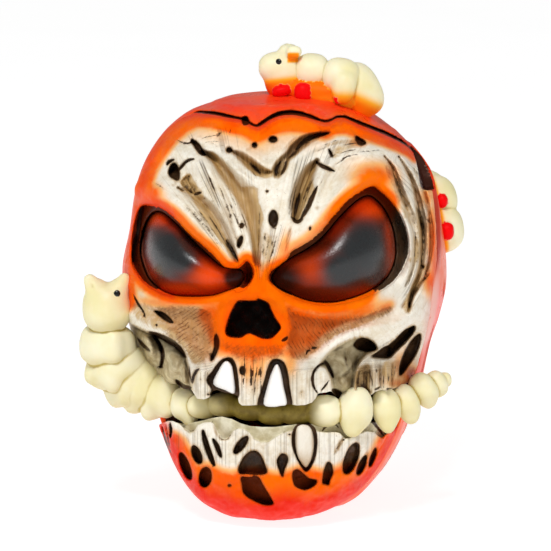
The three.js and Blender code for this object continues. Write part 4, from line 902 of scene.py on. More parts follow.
def largest(verts, quads):
    """drops loose crumbs: keeps the connected body with most faces"""
    lab = np.arange(len(verts))
    e = np.concatenate([quads[:, [0, 1]], quads[:, [1, 2]], quads[:, [2, 3]], quads[:, [3, 0]]])
    while True:
        m = np.minimum(lab[e[:, 0]], lab[e[:, 1]])
        new = lab.copy()
        np.minimum.at(new, e[:, 0], m)
        np.minimum.at(new, e[:, 1], m)
        new = new[new]
        new = new[new]
        if (new == lab).all():
            break
        lab = new
    root = lab[quads[:, 0]]
    ids, c = np.unique(root, return_counts=True)
    keep = root == ids[c.argmax()]
    q = quads[keep]
    used = np.unique(q)
    remap = np.full(len(verts), -1)
    remap[used] = np.arange(len(used))
    return verts[used], remap[q]


def lighten(verts, quads, target, hidden=None):
    """collapses the flattest faces first, mostly inside, down to a triangle count"""
    tris = np.concatenate([quads[:, [0, 1, 2]], quads[:, [0, 2, 3]]])
    if len(tris) <= target:
        return verts, tris
    me = bpy.data.meshes.new("tmp")
    me.vertices.add(len(verts))
    me.vertices.foreach_set("co", verts.astype(np.float32).ravel())
    me.loops.add(tris.size)
    me.loops.foreach_set("vertex_index", tris.astype(np.int32).ravel())
    me.polygons.add(len(tris))
    me.polygons.foreach_set("loop_start", np.arange(0, tris.size, 3, dtype=np.int32))
    me.update(calc_edges=True)
    ob = bpy.data.objects.new("tmp", me)
    scene.collection.objects.link(ob)
    mod = ob.modifiers.new("lighten", "DECIMATE")
    mod.ratio = target / len(tris)
    mod.use_collapse_triangulate = True
    if hidden is not None:
        g = ob.vertex_groups.new(name="free")
        for w in (0.35, 1.0):
            g.add(np.flatnonzero(hidden if w == 1.0 else ~hidden).tolist(), w, "REPLACE")
        mod.vertex_group, mod.vertex_group_factor = "free", 0.02
    ev = ob.evaluated_get(bpy.context.evaluated_depsgraph_get())
    out = ev.to_mesh()
    v = np.zeros(len(out.vertices) * 3, np.float32)
    out.vertices.foreach_get("co", v)
    out.calc_loop_triangles()
    t = np.zeros(len(out.loop_triangles) * 3, np.int32)
    out.loop_triangles.foreach_get("vertices", t)
    ev.to_mesh_clear()
    bpy.data.objects.remove(ob)
    bpy.data.meshes.remove(me)
    return v.reshape(-1, 3).astype(np.float64), t.reshape(-1, 3)


# ============================================================== fields of the three castings
PART_Y = -8.0


# height, depth of the seam down the right and the left side, mm
SEAM_R = np.array([(30, -8), (46, -8), (54, -7.2), (59, -8), (64, -10), (71, -12.2), (77, -11.8), (82, -8.8), (87, -3.8), (92, 0.5), (97, 4.2), (101.5, 8), (106, 11.5), (111, 13.5), (116, 13), (121, 9), (126, 4), (140, -6)], float)
SEAM_L = np.array([(30, -8), (46, -8), (54, -12), (61, -15.4), (70, -15.6), (78, -14.8), (86, -13.8), (95, -14.2), (104, -13.6), (112, -11.8), (118, -9.6), (124, -7.6), (130, -8), (134, -9), (140, -8)], float)
SEAM_Z = np.arange(-12.0, 160.0, 0.5)


def even(y, n=9):
    k = np.hanning(n + 2)[1:-1]
    return np.convolve(np.pad(y, n // 2, mode="edge"), k / k.sum(), mode="valid")


SEAM_RY = even(np.interp(SEAM_Z, SEAM_R[:, 0], SEAM_R[:, 1]))
SEAM_LY = even(np.interp(SEAM_Z, SEAM_L[:, 0], SEAM_L[:, 1]))


def seam_depth(P):
    t = ss(-8.0, 8.0, P[:, 0])
    return np.interp(P[:, 2], SEAM_Z, SEAM_LY) * (1 - t) + np.interp(P[:, 2], SEAM_Z, SEAM_RY) * t


def beside(P):
    """1 on the two sides, 0 on the crown, where the seam is the drawn crack"""
    w = np.maximum(ss(-27.0, -35.0, P[:, 0]), ss(37.0, 43.0, P[:, 0]))
    return 1 - ss(96.0, 108.0, P[:, 2]) * (1 - w)


def split_side(P, u, v):
    """positive on the rear hood's side, negative on the face's side, mm"""
    w = beside(P)
    crown = np.maximum(sample(FACE_SD, u, v) * MMPX, -tri(BASE_N, P) * 24.0)
    r = w * (P[:, 1] - seam_depth(P)) + (1 - w) * crown
    k = ss(42.0, 52.0, P[:, 2])
    return k * r + (1 - k) * (P[:, 1] - PART_Y)


def relief(P, u, v):
    w = ss(0.0, 0.34, tri(BASE_N, P))
    w = w * (1 - 0.9 * ss(-4.0, -0.4, split_side(P, u, v)) * beside(P))
    return sample(HGT, u, v) * w, w


# ---- cracks and pits round the back, laid out on the hood unrolled about its axis
BU, BV = np.meshgrid(-165.0 + 0.6 * np.arange(551), -6.0 + 0.6 * np.arange(250))
BACK_H, BACK_D, BACK_W = [np.zeros(BU.shape) for _ in range(3)]


def back_crack(pts, w, depth, seed):
    r = np.random.default_rng(seed)
    P = [np.array(pts[0], float)]
    for q in pts[1:]:
        q = np.array(q, float)
        m = (P[-1] + q) / 2 + r.uniform(-1.6, 1.6, 2)
        P += [m, q]
    d, t, _ = dist_to(BU, BV, np.array(P), False)
    k = np.maximum(0.5 * w * np.sin(np.pi * np.clip(t, 0.03, 0.97)) ** 0.4, 0.2)
    x = np.clip(d / k, 0, 1)
    BACK_H[:] = np.minimum(BACK_H, -depth * (1 - x * x) ** 1.5) + 0.35 * np.exp(-((d - 1.5 * k) / (0.6 * k)) ** 2)
    BACK_D[:] = np.maximum(BACK_D, ss(1.0, 0.5, d / k))
    BACK_W[:] = np.maximum(BACK_W, 0.7 * ss(4.5, 0.6, d / k))


def back_pit(cs, cz, a, b, ang, depth):
    c, n = math.cos(math.radians(ang)), math.sin(math.radians(ang))
    x, y = (BU - cs) * c + (BV - cz) * n, -(BU - cs) * n + (BV - cz) * c
    q = np.hypot(x / a, y / b)
    BACK_H[:] = BACK_H - depth * ss(1.1, 0.6, q) + 0.3 * np.exp(-((q - 1.3) / 0.22) ** 2)
    BACK_D[:] = np.maximum(BACK_D, ss(1.05, 0.9, q))
    BACK_W[:] = np.maximum(BACK_W, 0.55 * ss(1.8, 0.9, q))


for pts, w, depth, seed in (
        ([(-8, 133), (-15, 121), (-8, 109), (-18, 97), (-13, 85), (-24, 72), (-20, 62)], 2.6, 1.5, 1), ([(-18, 97), (-29, 91), (-38, 80), (-36, 72)], 2.0, 1.1, 2), ([(-13, 85), (-4, 78), (-2, 70)], 1.7, 0.9, 3),
        ([(30, 84), (37, 73), (30, 62), (38, 50), (33, 40)], 2.4, 1.4, 4), ([(37, 73), (48, 68), (52, 60)], 1.8, 1.0, 5), ([(12, 124), (20, 116), (16, 106)], 2.0, 1.1, 6),
        ([(-60, 108), (-52, 97), (-61, 86), (-53, 73), (-59, 60), (-55, 50)], 2.4, 1.4, 7), ([(-61, 86), (-71, 80), (-74, 70)], 1.8, 1.0, 8),
        ([(6, 62), (1, 52), (10, 43), (4, 32), (11, 21)], 2.3, 1.3, 9), ([(10, 43), (21, 38), (24, 30)], 1.7, 0.9, 10),
        ([(66, 84), (58, 74), (65, 62), (58, 50), (63, 42)], 2.2, 1.2, 11), ([(-32, 52), (-38, 41), (-29, 31), (-35, 20)], 2.2, 1.2, 12),
        ([(-78, 116), (-70, 112), (-62, 114)], 1.8, 1.0, 13), ([(-84, 60), (-80, 48), (-86, 38), (-82, 28)], 2.0, 1.1, 14), ([(-92, 96), (-86, 90), (-90, 82)], 1.8, 1.0, 15), ([(82, 62), (78, 52), (84, 44)], 1.8, 1.0, 16)):
    back_crack(pts, w, depth, seed)
for cs, cz, a, b, ang, depth in ((-64, 25, 3.2, 6.4, 14, 2.0), (-52, 15, 3.0, 5.0, 8, 1.9), (-44, 29, 2.4, 5.2, -10, 1.8), (-12, 15, 3.4, 5.6, -6, 2.0), (26, 17, 3.4, 6.4, 12, 2.0), (44, 27, 2.8, 5.6, -12, 1.9),
                                 (60, 15, 3.0, 4.8, 10, 1.8), (70, 31, 2.4, 5.2, 6, 1.8), (-74, 38, 2.2, 5.0, -8, 1.7), (-22, 108, 1.7, 2.2, 20, 1.2), (-42, 112, 1.5, 2.0, 0, 1.1), (48, 112, 1.6, 2.4, 30, 1.2),
                                 (-6, 92, 1.3, 1.7, 0, 1.0), (18, 70, 1.5, 2.2, -20, 1.1), (-44, 62, 1.6, 2.3, 15, 1.2), (-70, 98, 1.6, 2.4, 10, 1.1), (50, 46, 1.4, 2.0, 0, 1.0), (-88, 74, 1.5, 2.4, -12, 1.1), (76, 74, 1.5, 2.2, 0, 1.0)):
    back_pit(cs, cz, a, b, ang, depth)


def back_at(m, P):
    x = np.clip((np.arctan2(P[:, 0] + 0.4, P[:, 1] - 4.0) * 50.0 + 165.0) / 0.6, 0, 549.0)
    y = np.clip((P[:, 2] + 6.0) / 0.6, 0, 248.0)
    i, j = x.astype(int), y.astype(int)
    a, b = x - i, y - j
    return (m[j, i] * (1 - a) + m[j, i + 1] * a) * (1 - b) + (m[j + 1, i] * (1 - a) + m[j + 1, i + 1] * a) * b


def face_field(P):
    d = tri(BASE_D, P)
    u, v = project(P)
    h, w = relief(P, u, v)
    s = np.maximum(d - h, -(d + 12.5))
    for sd, dome in ((SD_L, SD_DL), (SD_R, SD_DR)):
        depth = (2.8 if sd is SD_L else 3.8) + 7.0 * ss(1.6, -1.0, sample(dome, u, v))
        s = smax(s, -np.maximum(sample(sd, u, v) * MMPX, -(d + depth)), 0.9)
    if_tip = np.exp(-(((u - 249) / 7.0) ** 2 + ((v - 276) / 14.0) ** 2))
    s = smax(s, -np.maximum(sample(SD_L, u, v) * MMPX, -(d + 9.0 * if_tip)), 0.6)
    floor_n = 6.2 + 1.0 * np.sin(u * 0.31 + 0.4) * np.cos(v * 0.27) - 3.0 * np.exp(-(((u - 266) / 11) ** 2 + ((v - 337) / 8) ** 2))
    s = smax(s, -np.maximum(sample(SD_N, u, v) * MMPX, -(d + floor_n)), 0.6)
    s = smax(s, sample(CUT_UP, u, v) * MMPX, 0.6)
    s = smax(s, -np.maximum(np.maximum(sample(SD_POCKET, u, v) * MMPX, -(d + 2.6)), (0.04 - tri(BASE_N, P)) * 30.0), 0.5)
    return np.maximum(s, split_side(P, u, v) + 0.03)


def plate_sd(P, grow):
    e = NEXP
    b = np.where(P[:, 1] < 10, 33.6, 34.0) + grow
    r = (np.abs((P[:, 0] + 2.4) / (19.0 + grow)) ** e + np.abs((P[:, 1] - 10) / b) ** e) ** (1 / e)
    return (r - 1) * 19.0


def jaw_field(P):
    d = tri(BASE_D, P)
    u, v = project(P)
    h, w = relief(P, u, v)
    rim = smax(np.maximum(d - h, -(d + 6.0)), sample(CUT_LOW, u, v) * MMPX, 0.8)
    gum = np.maximum(np.maximum(d + 3.4, -(d + 9.0)), sample(CUT_GUM, u, v) * MMPX)
    s = np.minimum(rim, gum)
    s = np.maximum(s, P[:, 1] - PART_Y + 0.12)
    s = smax(s, 1.3 - P[:, 2], 0.6)
    return np.maximum(s, -np.maximum(plate_sd(P, 0.4), P[:, 2] - 6.2))


HOOD_CRACKS = []


def hood_relief(P):
    """soft lumps all over the rind"""
    a = noise3(P / 26.0, 3) - 0.5
    b = noise3(P / 9.0, 5) - 0.5
    return 0.6 + 1.2 * a + 0.35 * b


def hood_field(P):
    d = tri(BASE_D, P)
    u, v = project(P)
    w = ss(0.0, 0.2, tri(BASE_N, P))
    # near its edge the rind carries the crack drawn on the view
    r = split_side(P, u, v)
    drawn = np.minimum(sample(HGT, u, v), 0.3) * w * ss(14.0, 9.0, np.abs(sample(FACE_SD, u, v))) * (1 - beside(P))
    outer = d - (hood_relief(P) + back_at(BACK_H, P) * ss(4.0, 8.0, r)) * ss(0.0, 5.0, r) - drawn
    s = np.maximum(outer, -(d + 3.6))
    s = smax(s, 0.03 - r, 0.7)
    s = smax(s, -np.maximum(np.maximum(sample(SD_POCKET, u, v) * MMPX, -(d + 2.6)), (0.04 - tri(BASE_N, P)) * 30.0), 0.5)
    wall = np.maximum(np.maximum(d + 2.0, np.abs(P[:, 1] + 6.4) - 1.3), np.abs(P[:, 2] - 39.0) - 13.0)
    s = np.minimum(s, wall)
    s = smax(s, 1.3 - P[:, 2], 0.6)
    return np.maximum(s, -np.maximum(plate_sd(P, 0.4), P[:, 2] - 6.2))


def membrane(sd_map):
    """0..1 swelling of a sheet held at an outline and blown up from behind"""
    m = sd_map[::4, ::4] < 0
    f = np.where(m, -sd_map[::4, ::4], 0).astype(np.float64)
    f = f * f.max() * 0.4
    for _ in range(900):
        g = np.pad(f, 1)
        f = np.where(m, 0.25 * (g[2:, 1:-1] + g[:-2, 1:-1] + g[1:-1, 2:] + g[1:-1, :-2]) + 1.0, 0)
    f = (f / f.max()) ** 0.85
    out = np.zeros_like(sd_map)
    x = np.clip((np.arange(MW) - 1.5 + 1.5) / 4.0, 0, f.shape[1] - 1.001)
    y = np.clip((np.arange(MH) - 1.5 + 1.5) / 4.0, 0, f.shape[0] - 1.001)
    ix, iy = x.astype(int), y.astype(int)
    tx, ty = x - ix, (y - iy)[:, None]
    r0 = f[iy][:, ix] * (1 - tx) + f[iy][:, ix + 1] * tx
    r1 = f[iy + 1][:, ix] * (1 - tx) + f[iy + 1][:, ix + 1] * tx
    out[:] = r0 * (1 - ty) + r1 * ty
    return blur(out, 1.2)


def dome_field(sd_map):
    swell = membrane(sd_map)

    def field(P):
        d = tri(BASE_D, P)
        u, v = project(P)
        sd = sample(sd_map, u, v) * MMPX
        bulge = 7.0 * sample(swell, u, v)
        front = d + 5.0 - bulge
        return smax(np.maximum(front, -(d + 12.0)), sd, 0.4)
    return field


def tooth_field(pts, sink, bulge):
    sd_map = outline_sd(pts, 14)

    def field(P):
        d = tri(BASE_D, P)
        u, v = project(P)
        sd = sample(sd_map, u, v) * MMPX
        t = np.clip(-sd / 2.2, 0, 1)
        front = d + sink - bulge * np.sqrt(np.clip(1 - (1 - t) ** 2, 0, 1))
        return smax(np.maximum(front, -(d + 5.0)), sd, 0.5)
    return field


# ============================================================== colours and materials
def srgb(r, g, b):
    return tuple(((c / 255) / 12.92 if c <= 10.3 else (((c / 255) + 0.055) / 1.055) ** 2.4) for c in (r, g, b)) + (1.0,)


class Nodes:
    def __init__(self, name):
        self.mat = bpy.data.materials.new(name)
        self.mat.use_nodes = True
        self.nt = self.mat.node_tree
        self.nt.nodes.clear()
        self.out = self.nt.nodes.new("ShaderNodeOutputMaterial")
        self.bsdf = self.nt.nodes.new("ShaderNodeBsdfPrincipled")
        self.nt.links.new(self.bsdf.outputs[0], self.out.inputs[0])
        self.coord = self.nt.nodes.new("ShaderNodeTexCoord").outputs["Object"]

    def node(self, kind, **props):
        n = self.nt.nodes.new(kind)
        for k, v in props.items():
            setattr(n, k, v)
        return n

    def link(self, a, b):
        self.nt.links.new(a, b)

    def attr(self, name):
        n = self.node("ShaderNodeAttribute", attribute_name=name)
        return n.outputs["Fac"]

    def noise(self, scale, detail=4.0, rough=0.55, stretch=None, w=0.0):
        n = self.node("ShaderNodeTexNoise")
        n.inputs["Scale"].default_value = scale
        n.inputs["Detail"].default_value = detail
        n.inputs["Roughness"].default_value = rough
        src = self.coord
        if stretch:
            mp = self.node("ShaderNodeMapping")
            mp.inputs["Scale"].default_value = stretch
            self.link(src, mp.inputs["Vector"])
            src = mp.outputs[0]
        self.link(src, n.inputs["Vector"])
        return n.outputs["Fac"]

    def grain_noise(self, across, along):
        """noise drawn out along the grain of the bone"""
        mp = self.node("ShaderNodeMapping")
        mp.inputs["Scale"].default_value = (along, along, along)
        self.link(self.coord, mp.inputs["Vector"])
        sp = self.node("ShaderNodeSeparateXYZ")
        self.link(mp.outputs[0], sp.inputs[0])
        cb = self.node("ShaderNodeCombineXYZ")
        self.link(self.math("MULTIPLY", self.attr("m_grain"), across), cb.inputs[0])
        self.link(self.math("ADD", sp.outputs[0], sp.outputs[1]), cb.inputs[1])
        self.link(sp.outputs[2], cb.inputs[2])
        n = self.node("ShaderNodeTexNoise")
        n.inputs["Scale"].default_value = 1.0
        n.inputs["Detail"].default_value = 5.0
        n.inputs["Roughness"].default_value = 0.6
        self.link(cb.outputs[0], n.inputs["Vector"])
        return n.outputs["Fac"]

    def math(self, op, a, b=None, clamp=False):
        n = self.node("ShaderNodeMath", operation=op, use_clamp=clamp)
        for k, x in enumerate((a, b)):
            if x is None:
                continue
            if isinstance(x, (int, float)):
                n.inputs[k].default_value = x
            else:
                self.link(x, n.inputs[k])
        return n.outputs[0]

    def ramp(self, x, lo, hi, a=0.0, b=1.0):
        n = self.node("ShaderNodeMapRange", clamp=True, interpolation_type="SMOOTHSTEP")
        self.link(x, n.inputs["Value"])
        n.inputs["From Min"].default_value, n.inputs["From Max"].default_value = lo, hi
        n.inputs["To Min"].default_value, n.inputs["To Max"].default_value = a, b
        return n.outputs[0]

    def mix(self, f, a, b):
        n = self.node("ShaderNodeMix", data_type="RGBA")
        if isinstance(f, (int, float)):
            n.inputs["Factor"].default_value = f
        else:
            self.link(f, n.inputs["Factor"])
        for key, x in (("A", a), ("B", b)):
            s = [i for i in n.inputs if i.name == key and i.type == "RGBA"][0]
            if isinstance(x, tuple):
                s.default_value = x
            else:
                self.link(x, s)
        return [o for o in n.outputs if o.type == "RGBA"][0]

    def bump(self, h, strength, dist=0.0004):
        n = self.node("ShaderNodeBump")
        n.inputs["Strength"].default_value = strength
        n.inputs["Distance"].default_value = dist
        self.link(h, n.inputs["Height"])
        self.link(n.outputs[0], self.bsdf.inputs["Normal"])

    def set(self, **kw):
        for k, v in kw.items():
            s = self.bsdf.inputs[k.replace("_", " ")]
            if isinstance(v, (int, float, tuple)):
                s.default_value = v
            else:
                self.link(v, s)


BONE, BONE_WARM = srgb(246, 240, 226), srgb(222, 206, 174)
WASH_C, WASH_D = srgb(184, 152, 106), srgb(96, 64, 28)
DARK_C, DARK_L = srgb(48, 32, 18), srgb(78, 54, 32)
GOLD_C = srgb(204, 172, 122)
OLIVE_C = srgb(184, 148, 92)
ORANGE_C, ORANGE_L, AMBER_C = srgb(250, 92, 0), srgb(255, 116, 4), srgb(252, 186, 112)
RED_C, RED_D = srgb(236, 40, 18), srgb(150, 18, 8)


def painted_bone(name):
    """bone paint under a brown wash, with airbrushed orange and red, black in the holes"""
    m = Nodes(name)
    big, mid, fine = m.noise(60, 5), m.noise(260, 5, 0.6), m.noise(900, 3, 0.6)
    streak = m.grain_noise(0.42, 14.0)
    hair = m.grain_noise(1.1, 30.0)
    # broken scratches across the cheeks
    wob = m.math("MULTIPLY", m.noise(150, 4), 15.0)
    wave = m.math("SINE", m.math("ADD", m.math("MULTIPLY", m.attr("m_line"), 1.8), wob))
    scratch = m.math("MULTIPLY", m.ramp(wave, 0.55, 0.85), m.math("MULTIPLY", m.ramp(m.noise(420, 3), 0.42, 0.6), m.attr("m_hatch")), True)
    line = m.math("MULTIPLY", m.attr("m_fine"), m.ramp(m.grain_noise(0.62, 12.0), 0.53, 0.585))
    grit = m.noise(620, 4, 0.7)
    ragged = m.ramp(m.math("ADD", m.math("MULTIPLY", mid, 0.5), m.math("MULTIPLY", grit, 0.5)), 0.3, 0.7, -0.2, 0.2)
    dark = m.ramp(m.math("ADD", m.attr("m_dark"), ragged), 0.34, 0.56)
    col = m.mix(m.ramp(m.math("ADD", m.math("MULTIPLY", big, 0.5), m.math("MULTIPLY", grit, 0.5)), 0.4, 0.66, 0.0, 0.7), BONE, BONE_WARM)
    col = m.mix(m.math("MULTIPLY", m.ramp(m.noise(760, 3, 0.6), 0.66, 0.72), 0.4), col, srgb(150, 116, 76))
    col = m.mix(m.math("MULTIPLY", m.ramp(streak, 0.5, 0.75), 0.22), col, WASH_C)
    col = m.mix(m.math("MULTIPLY", m.ramp(hair, 0.58, 0.7), 0.2), col, WASH_D)
    org = m.math("MULTIPLY", m.attr("m_orange"), m.ramp(mid, 0.15, 0.6, 0.88, 1.12), True)
    col = m.mix(m.ramp(org, 0.02, 0.5), col, AMBER_C)
    col = m.mix(m.ramp(org, 0.35, 0.9), col, m.mix(m.ramp(big, 0.35, 0.65), ORANGE_C, ORANGE_L))
    col = m.mix(m.math("MULTIPLY", m.attr("m_red"), m.ramp(mid, 0.1, 0.6, 0.85, 1.1), True), col, RED_C)
    col = m.mix(m.math("MULTIPLY", line, 0.8), col, m.mix(org, srgb(88, 62, 32), srgb(132, 50, 10)))
    tan = m.math("MULTIPLY", m.ramp(m.math("ADD", m.attr("m_tan"), ragged), 0.2, 0.75), m.ramp(m.math("ADD", m.math("MULTIPLY", streak, 0.6), m.math("MULTIPLY", mid, 0.4)), 0.3, 0.55, 0.62, 1.0), True)
    col = m.mix(tan, col, m.mix(m.ramp(org, 0.05, 0.75), GOLD_C, srgb(190, 80, 22)))
    col = m.mix(m.math("MULTIPLY", m.attr("m_hatch"), m.ramp(grit, 0.4, 0.6, 0.15, 0.6)), col, m.mix(m.ramp(org, 0.3, 0.8), srgb(132, 82, 36), srgb(176, 66, 14)))
    wash = m.math("MULTIPLY", m.attr("m_wash"), m.math("ADD", m.ramp(streak, 0.32, 0.62, 0.62, 1.05), m.ramp(hair, 0.5, 0.66, 0.0, 0.35)))
    tint = m.mix(m.math("MULTIPLY", org, 0.85), OLIVE_C, srgb(200, 82, 16))
    shade = m.mix(m.math("MULTIPLY", org, 0.85), WASH_D, srgb(112, 36, 6))
    col = m.mix(m.ramp(wash, 0.1, 0.85, 0.0, 0.92), col, tint)
    col = m.mix(m.ramp(wash, 0.72, 1.12, 0.0, 0.85), col, shade)
    col = m.mix(m.math("MULTIPLY", scratch, 0.6), col, srgb(92, 42, 14))
    stone = m.mix(m.ramp(mid, 0.3, 0.7), srgb(222, 208, 170), srgb(176, 156, 116))
    col = m.mix(m.attr("m_stone"), col, m.mix(m.ramp(m.attr("m_wash"), 0.5, 1.0), stone, srgb(70, 56, 34)))
    col = m.mix(m.attr("m_gum"), col, m.mix(m.ramp(mid, 0.35, 0.65), srgb(238, 232, 208), srgb(206, 196, 160)))
    # dark paint in the holes, which in the eye sockets is painted shade
    col = m.mix(dark, col, m.mix(m.ramp(org, 0.3, 0.9), m.mix(m.ramp(mid, 0.35, 0.7), DARK_C, DARK_L), srgb(84, 32, 10)))
    col = m.mix(m.attr("m_black"), col, srgb(12, 11, 10))
    m.set(Base_Color=col, Roughness=m.math("SUBTRACT", m.ramp(mid, 0.3, 0.7, 0.38, 0.56), m.math("ADD", m.math("MULTIPLY", dark, 0.14), m.math("MULTIPLY", m.attr("m_black"), 0.22))))
    m.set(Specular_Tint=m.mix(m.math("MAXIMUM", m.ramp(org, 0.2, 0.8), m.attr("m_red")), (1.0, 1.0, 1.0, 1.0), col))
    m.set(Specular_IOR_Level=m.math("ADD", m.ramp(m.math("MAXIMUM", org, m.attr("m_red")), 0.2, 0.9, 0.22, 0.09), m.math("MULTIPLY", m.attr("m_black"), 0.8)))
    h = m.math("ADD", m.math("ADD", m.math("MULTIPLY", streak, -1.0), m.math("MULTIPLY", hair, -0.5)), m.math("MULTIPLY", fine, 0.25))
    m.bump(m.math("SUBTRACT", h, m.math("ADD", m.math("MULTIPLY", scratch, 0.6), m.math("MULTIPLY", line, 0.8))), 0.5)
    return m.mat


def painted_rind(name):
    m = Nodes(name)
    big, mid, fine = m.noise(38, 4), m.noise(170, 5, 0.6), m.noise(1100, 2)
    col = m.mix(m.ramp(big, 0.3, 0.7), srgb(255, 78, 30), srgb(250, 54, 20))
    # orange paint, and on the upper back also a painted highlight
    col = m.mix(m.math("MULTIPLY", m.attr("m_orange"), m.ramp(mid, 0.2, 0.6, 0.8, 1.1), True), col, srgb(250, 92, 10))
    col = m.mix(m.math("MULTIPLY", m.ramp(mid, 0.55, 0.8), 0.16), col, RED_D)
    # red paint, and toward the bottom of the back also painted shade
    col = m.mix(m.attr("m_red"), col, srgb(196, 14, 8))
    col = m.mix(m.math("MULTIPLY", m.attr("m_pale"), m.ramp(mid, 0.25, 0.6, 0.75, 1.1), True), col, srgb(240, 200, 188))
    col = m.mix(m.attr("m_wash"), col, srgb(96, 16, 6))
    col = m.mix(m.ramp(m.attr("m_dark"), 0.25, 0.6), col, srgb(52, 20, 10))
    m.set(Base_Color=col, Roughness=m.ramp(mid, 0.3, 0.7, 0.26, 0.42))
    m.bsdf.inputs["Specular IOR Level"].default_value = 0.3
    m.bsdf.inputs["Specular Tint"].default_value = (1.0, 0.62, 0.5, 1.0)
    m.bump(m.math("ADD", mid, m.math("MULTIPLY", fine, 0.3)), 0.14)
    return m.mat


def eye_lens(name):
    m = Nodes(name)
    mid = m.noise(420, 4, 0.6)
    col = m.mix(m.attr("m_glow"), srgb(70, 20, 8), srgb(226, 72, 10))
    col = m.mix(m.math("MULTIPLY", m.attr("m_smoke"), m.ramp(mid, 0.2, 0.6, 0.94, 1.0), True), col, srgb(34, 37, 38))
    col = m.mix(m.attr("m_dark"), col, srgb(30, 14, 8))
    # painted highlight: a thin pale line along part of the dome's edge
    col = m.mix(m.attr("m_rim"), col, srgb(190, 104, 76))
    m.set(Base_Color=col, Roughness=m.ramp(mid, 0.3, 0.75, 0.24, 0.33), Specular_IOR_Level=m.ramp(m.attr("m_smoke"), 0.0, 0.8, 0.16, 0.46))
    m.bump(m.noise(1700, 2), 0.24, 0.0002)
    return m.mat


def white_tooth(name, base, stain):
    m = Nodes(name)
    mid = m.noise(300, 4, 0.6, (1.0, 1.0, 0.3))
    col = m.mix(m.math("MULTIPLY", m.ramp(mid, 0.45, 0.8), 0.35), base, stain)
    col = m.mix(m.attr("m_wash"), col, WASH_C)
    m.set(Base_Color=col, Roughness=m.ramp(mid, 0.3, 0.7, 0.22, 0.36))
    m.bump(mid, 0.08)
    return m.mat


def grub_paint(name):
    m = Nodes(name)
    big, mid = m.noise(70, 4), m.noise(300, 4, 0.6)
    col = m.mix(m.ramp(big, 0.35, 0.7), srgb(246, 240, 206), srgb(238, 228, 174))
    # painted shade: the crease colour darkens creases and undersides, and the olive darkens the worm where it lies in
    # the mouth's shadow
    col = m.mix(m.attr("m_crease"), col, srgb(192, 168, 84))
    col = m.mix(m.attr("m_olive"), col, m.mix(m.ramp(mid, 0.3, 0.7), srgb(150, 130, 50), srgb(118, 98, 34)))
    col = m.mix(m.ramp(m.attr("m_orange"), 0.0, 0.6), col, srgb(252, 186, 40))
    col = m.mix(m.ramp(m.attr("m_orange"), 0.35, 1.0), col, srgb(250, 112, 2))
    col = m.mix(m.attr("m_red"), col, srgb(240, 10, 14))
    m.set(Base_Color=col, Roughness=m.ramp(mid, 0.3, 0.7, 0.36, 0.5))
    m.set(Specular_IOR_Level=m.ramp(m.math("MAXIMUM", m.attr("m_orange"), m.attr("m_red")), 0.1, 0.8, 0.3, 0.06))
    m.bsdf.inputs["Subsurface Weight"].default_value = 0.12
    m.bsdf.inputs["Subsurface Radius"].default_value = (0.6, 0.4, 0.2)
    m.bsdf.inputs["Subsurface Scale"].default_value = 0.002
    m.bump(mid, 0.08)
    return m.mat


def plain(name, a, b, scale, rough, metal=0.0, bump=0.2, stretch=None):
    m = Nodes(name)
    n = m.noise(scale, 4, 0.6, stretch)
    m.set(Base_Color=m.mix(m.ramp(n, 0.3, 0.7), a, b), Roughness=m.ramp(n, 0.3, 0.7, rough[0], rough[1]), Metallic=metal)
    m.bump(n, bump)
    return m.mat


MAT_FACE = painted_bone("painted_bone")
MAT_HOOD = painted_rind("painted_rind")
MAT_EYE = eye_lens("smoky_eye")
MAT_TOOTH = white_tooth("white_tooth", srgb(252, 251, 248), srgb(232, 226, 214))
MAT_OLD_TOOTH = white_tooth("old_tooth", srgb(238, 230, 214), srgb(196, 170, 128))
MAT_GRUB = grub_paint("grub_paint")
MAT_BLACK = plain("moulded_black", srgb(30, 30, 32), srgb(44, 44, 46), 2600, (0.5, 0.66), 0, 0.25)
MAT_STEEL = plain("zinc_steel", srgb(176, 176, 178), srgb(200, 200, 200), 700, (0.24, 0.4), 1.0, 0.1, (1, 1, 6))
MAT_CELL = plain("nickel_cell", srgb(206, 206, 204), srgb(220, 220, 220), 500, (0.14, 0.26), 1.0, 0.05, (6, 1, 6))
MAT_PAD = plain("foam_pad", srgb(34, 34, 36), srgb(52, 52, 54), 3200, (0.85, 0.95), 0, 0.6)
MAT_LEAD = plain("lead_jacket", srgb(160, 24, 18), srgb(186, 34, 26), 900, (0.36, 0.5), 0, 0.08)
MAT_WHITE = plain("switch_white", srgb(228, 228, 222), srgb(238, 238, 234), 1800, (0.42, 0.55), 0, 0.12)
MAT_LED = plain("led_lens", srgb(255, 176, 110), srgb(255, 196, 140), 400, (0.08, 0.16), 0, 0.02)
MAT_DOT = plain("gloss_black", srgb(8, 8, 8), srgb(16, 15, 13), 600, (0.12, 0.2), 0, 0.02)

# ============================================================== build the castings
H_FACE, H_JAW, H_HOOD = 0.43, 0.42, 0.6


def paint_at(V):
    u, v = project(V)
    return u, v, tri(BASE_D, V), tri(BASE_N, V)


def finish_piece(ob, mat, node, slot_name):
    ob.data.materials.append(mat)
    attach(ob, "skull")
    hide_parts(node)
    return ob


# face
V, Q = mesh_field(face_field, (-56, -60, 38), (56, 18, 140), H_FACE, lambda D: (D > -13.6) & (D < 7.0))
V, Q = largest(V, Q)
u, v, d, nv = paint_at(V)
V, Q = lighten(V, Q, 197000, (nv < -0.08) | (d < -6.6))
u, v, d, nv = paint_at(V)
vis = ss(0.0, 0.16, nv)
deep = ss(-2.2, -5.0, d - np.minimum(sample(HGT, u, v), 0))
sock = np.minimum(np.minimum(sample(SD_L, u, v), sample(SD_R, u, v)), sample(SD_N, u, v))
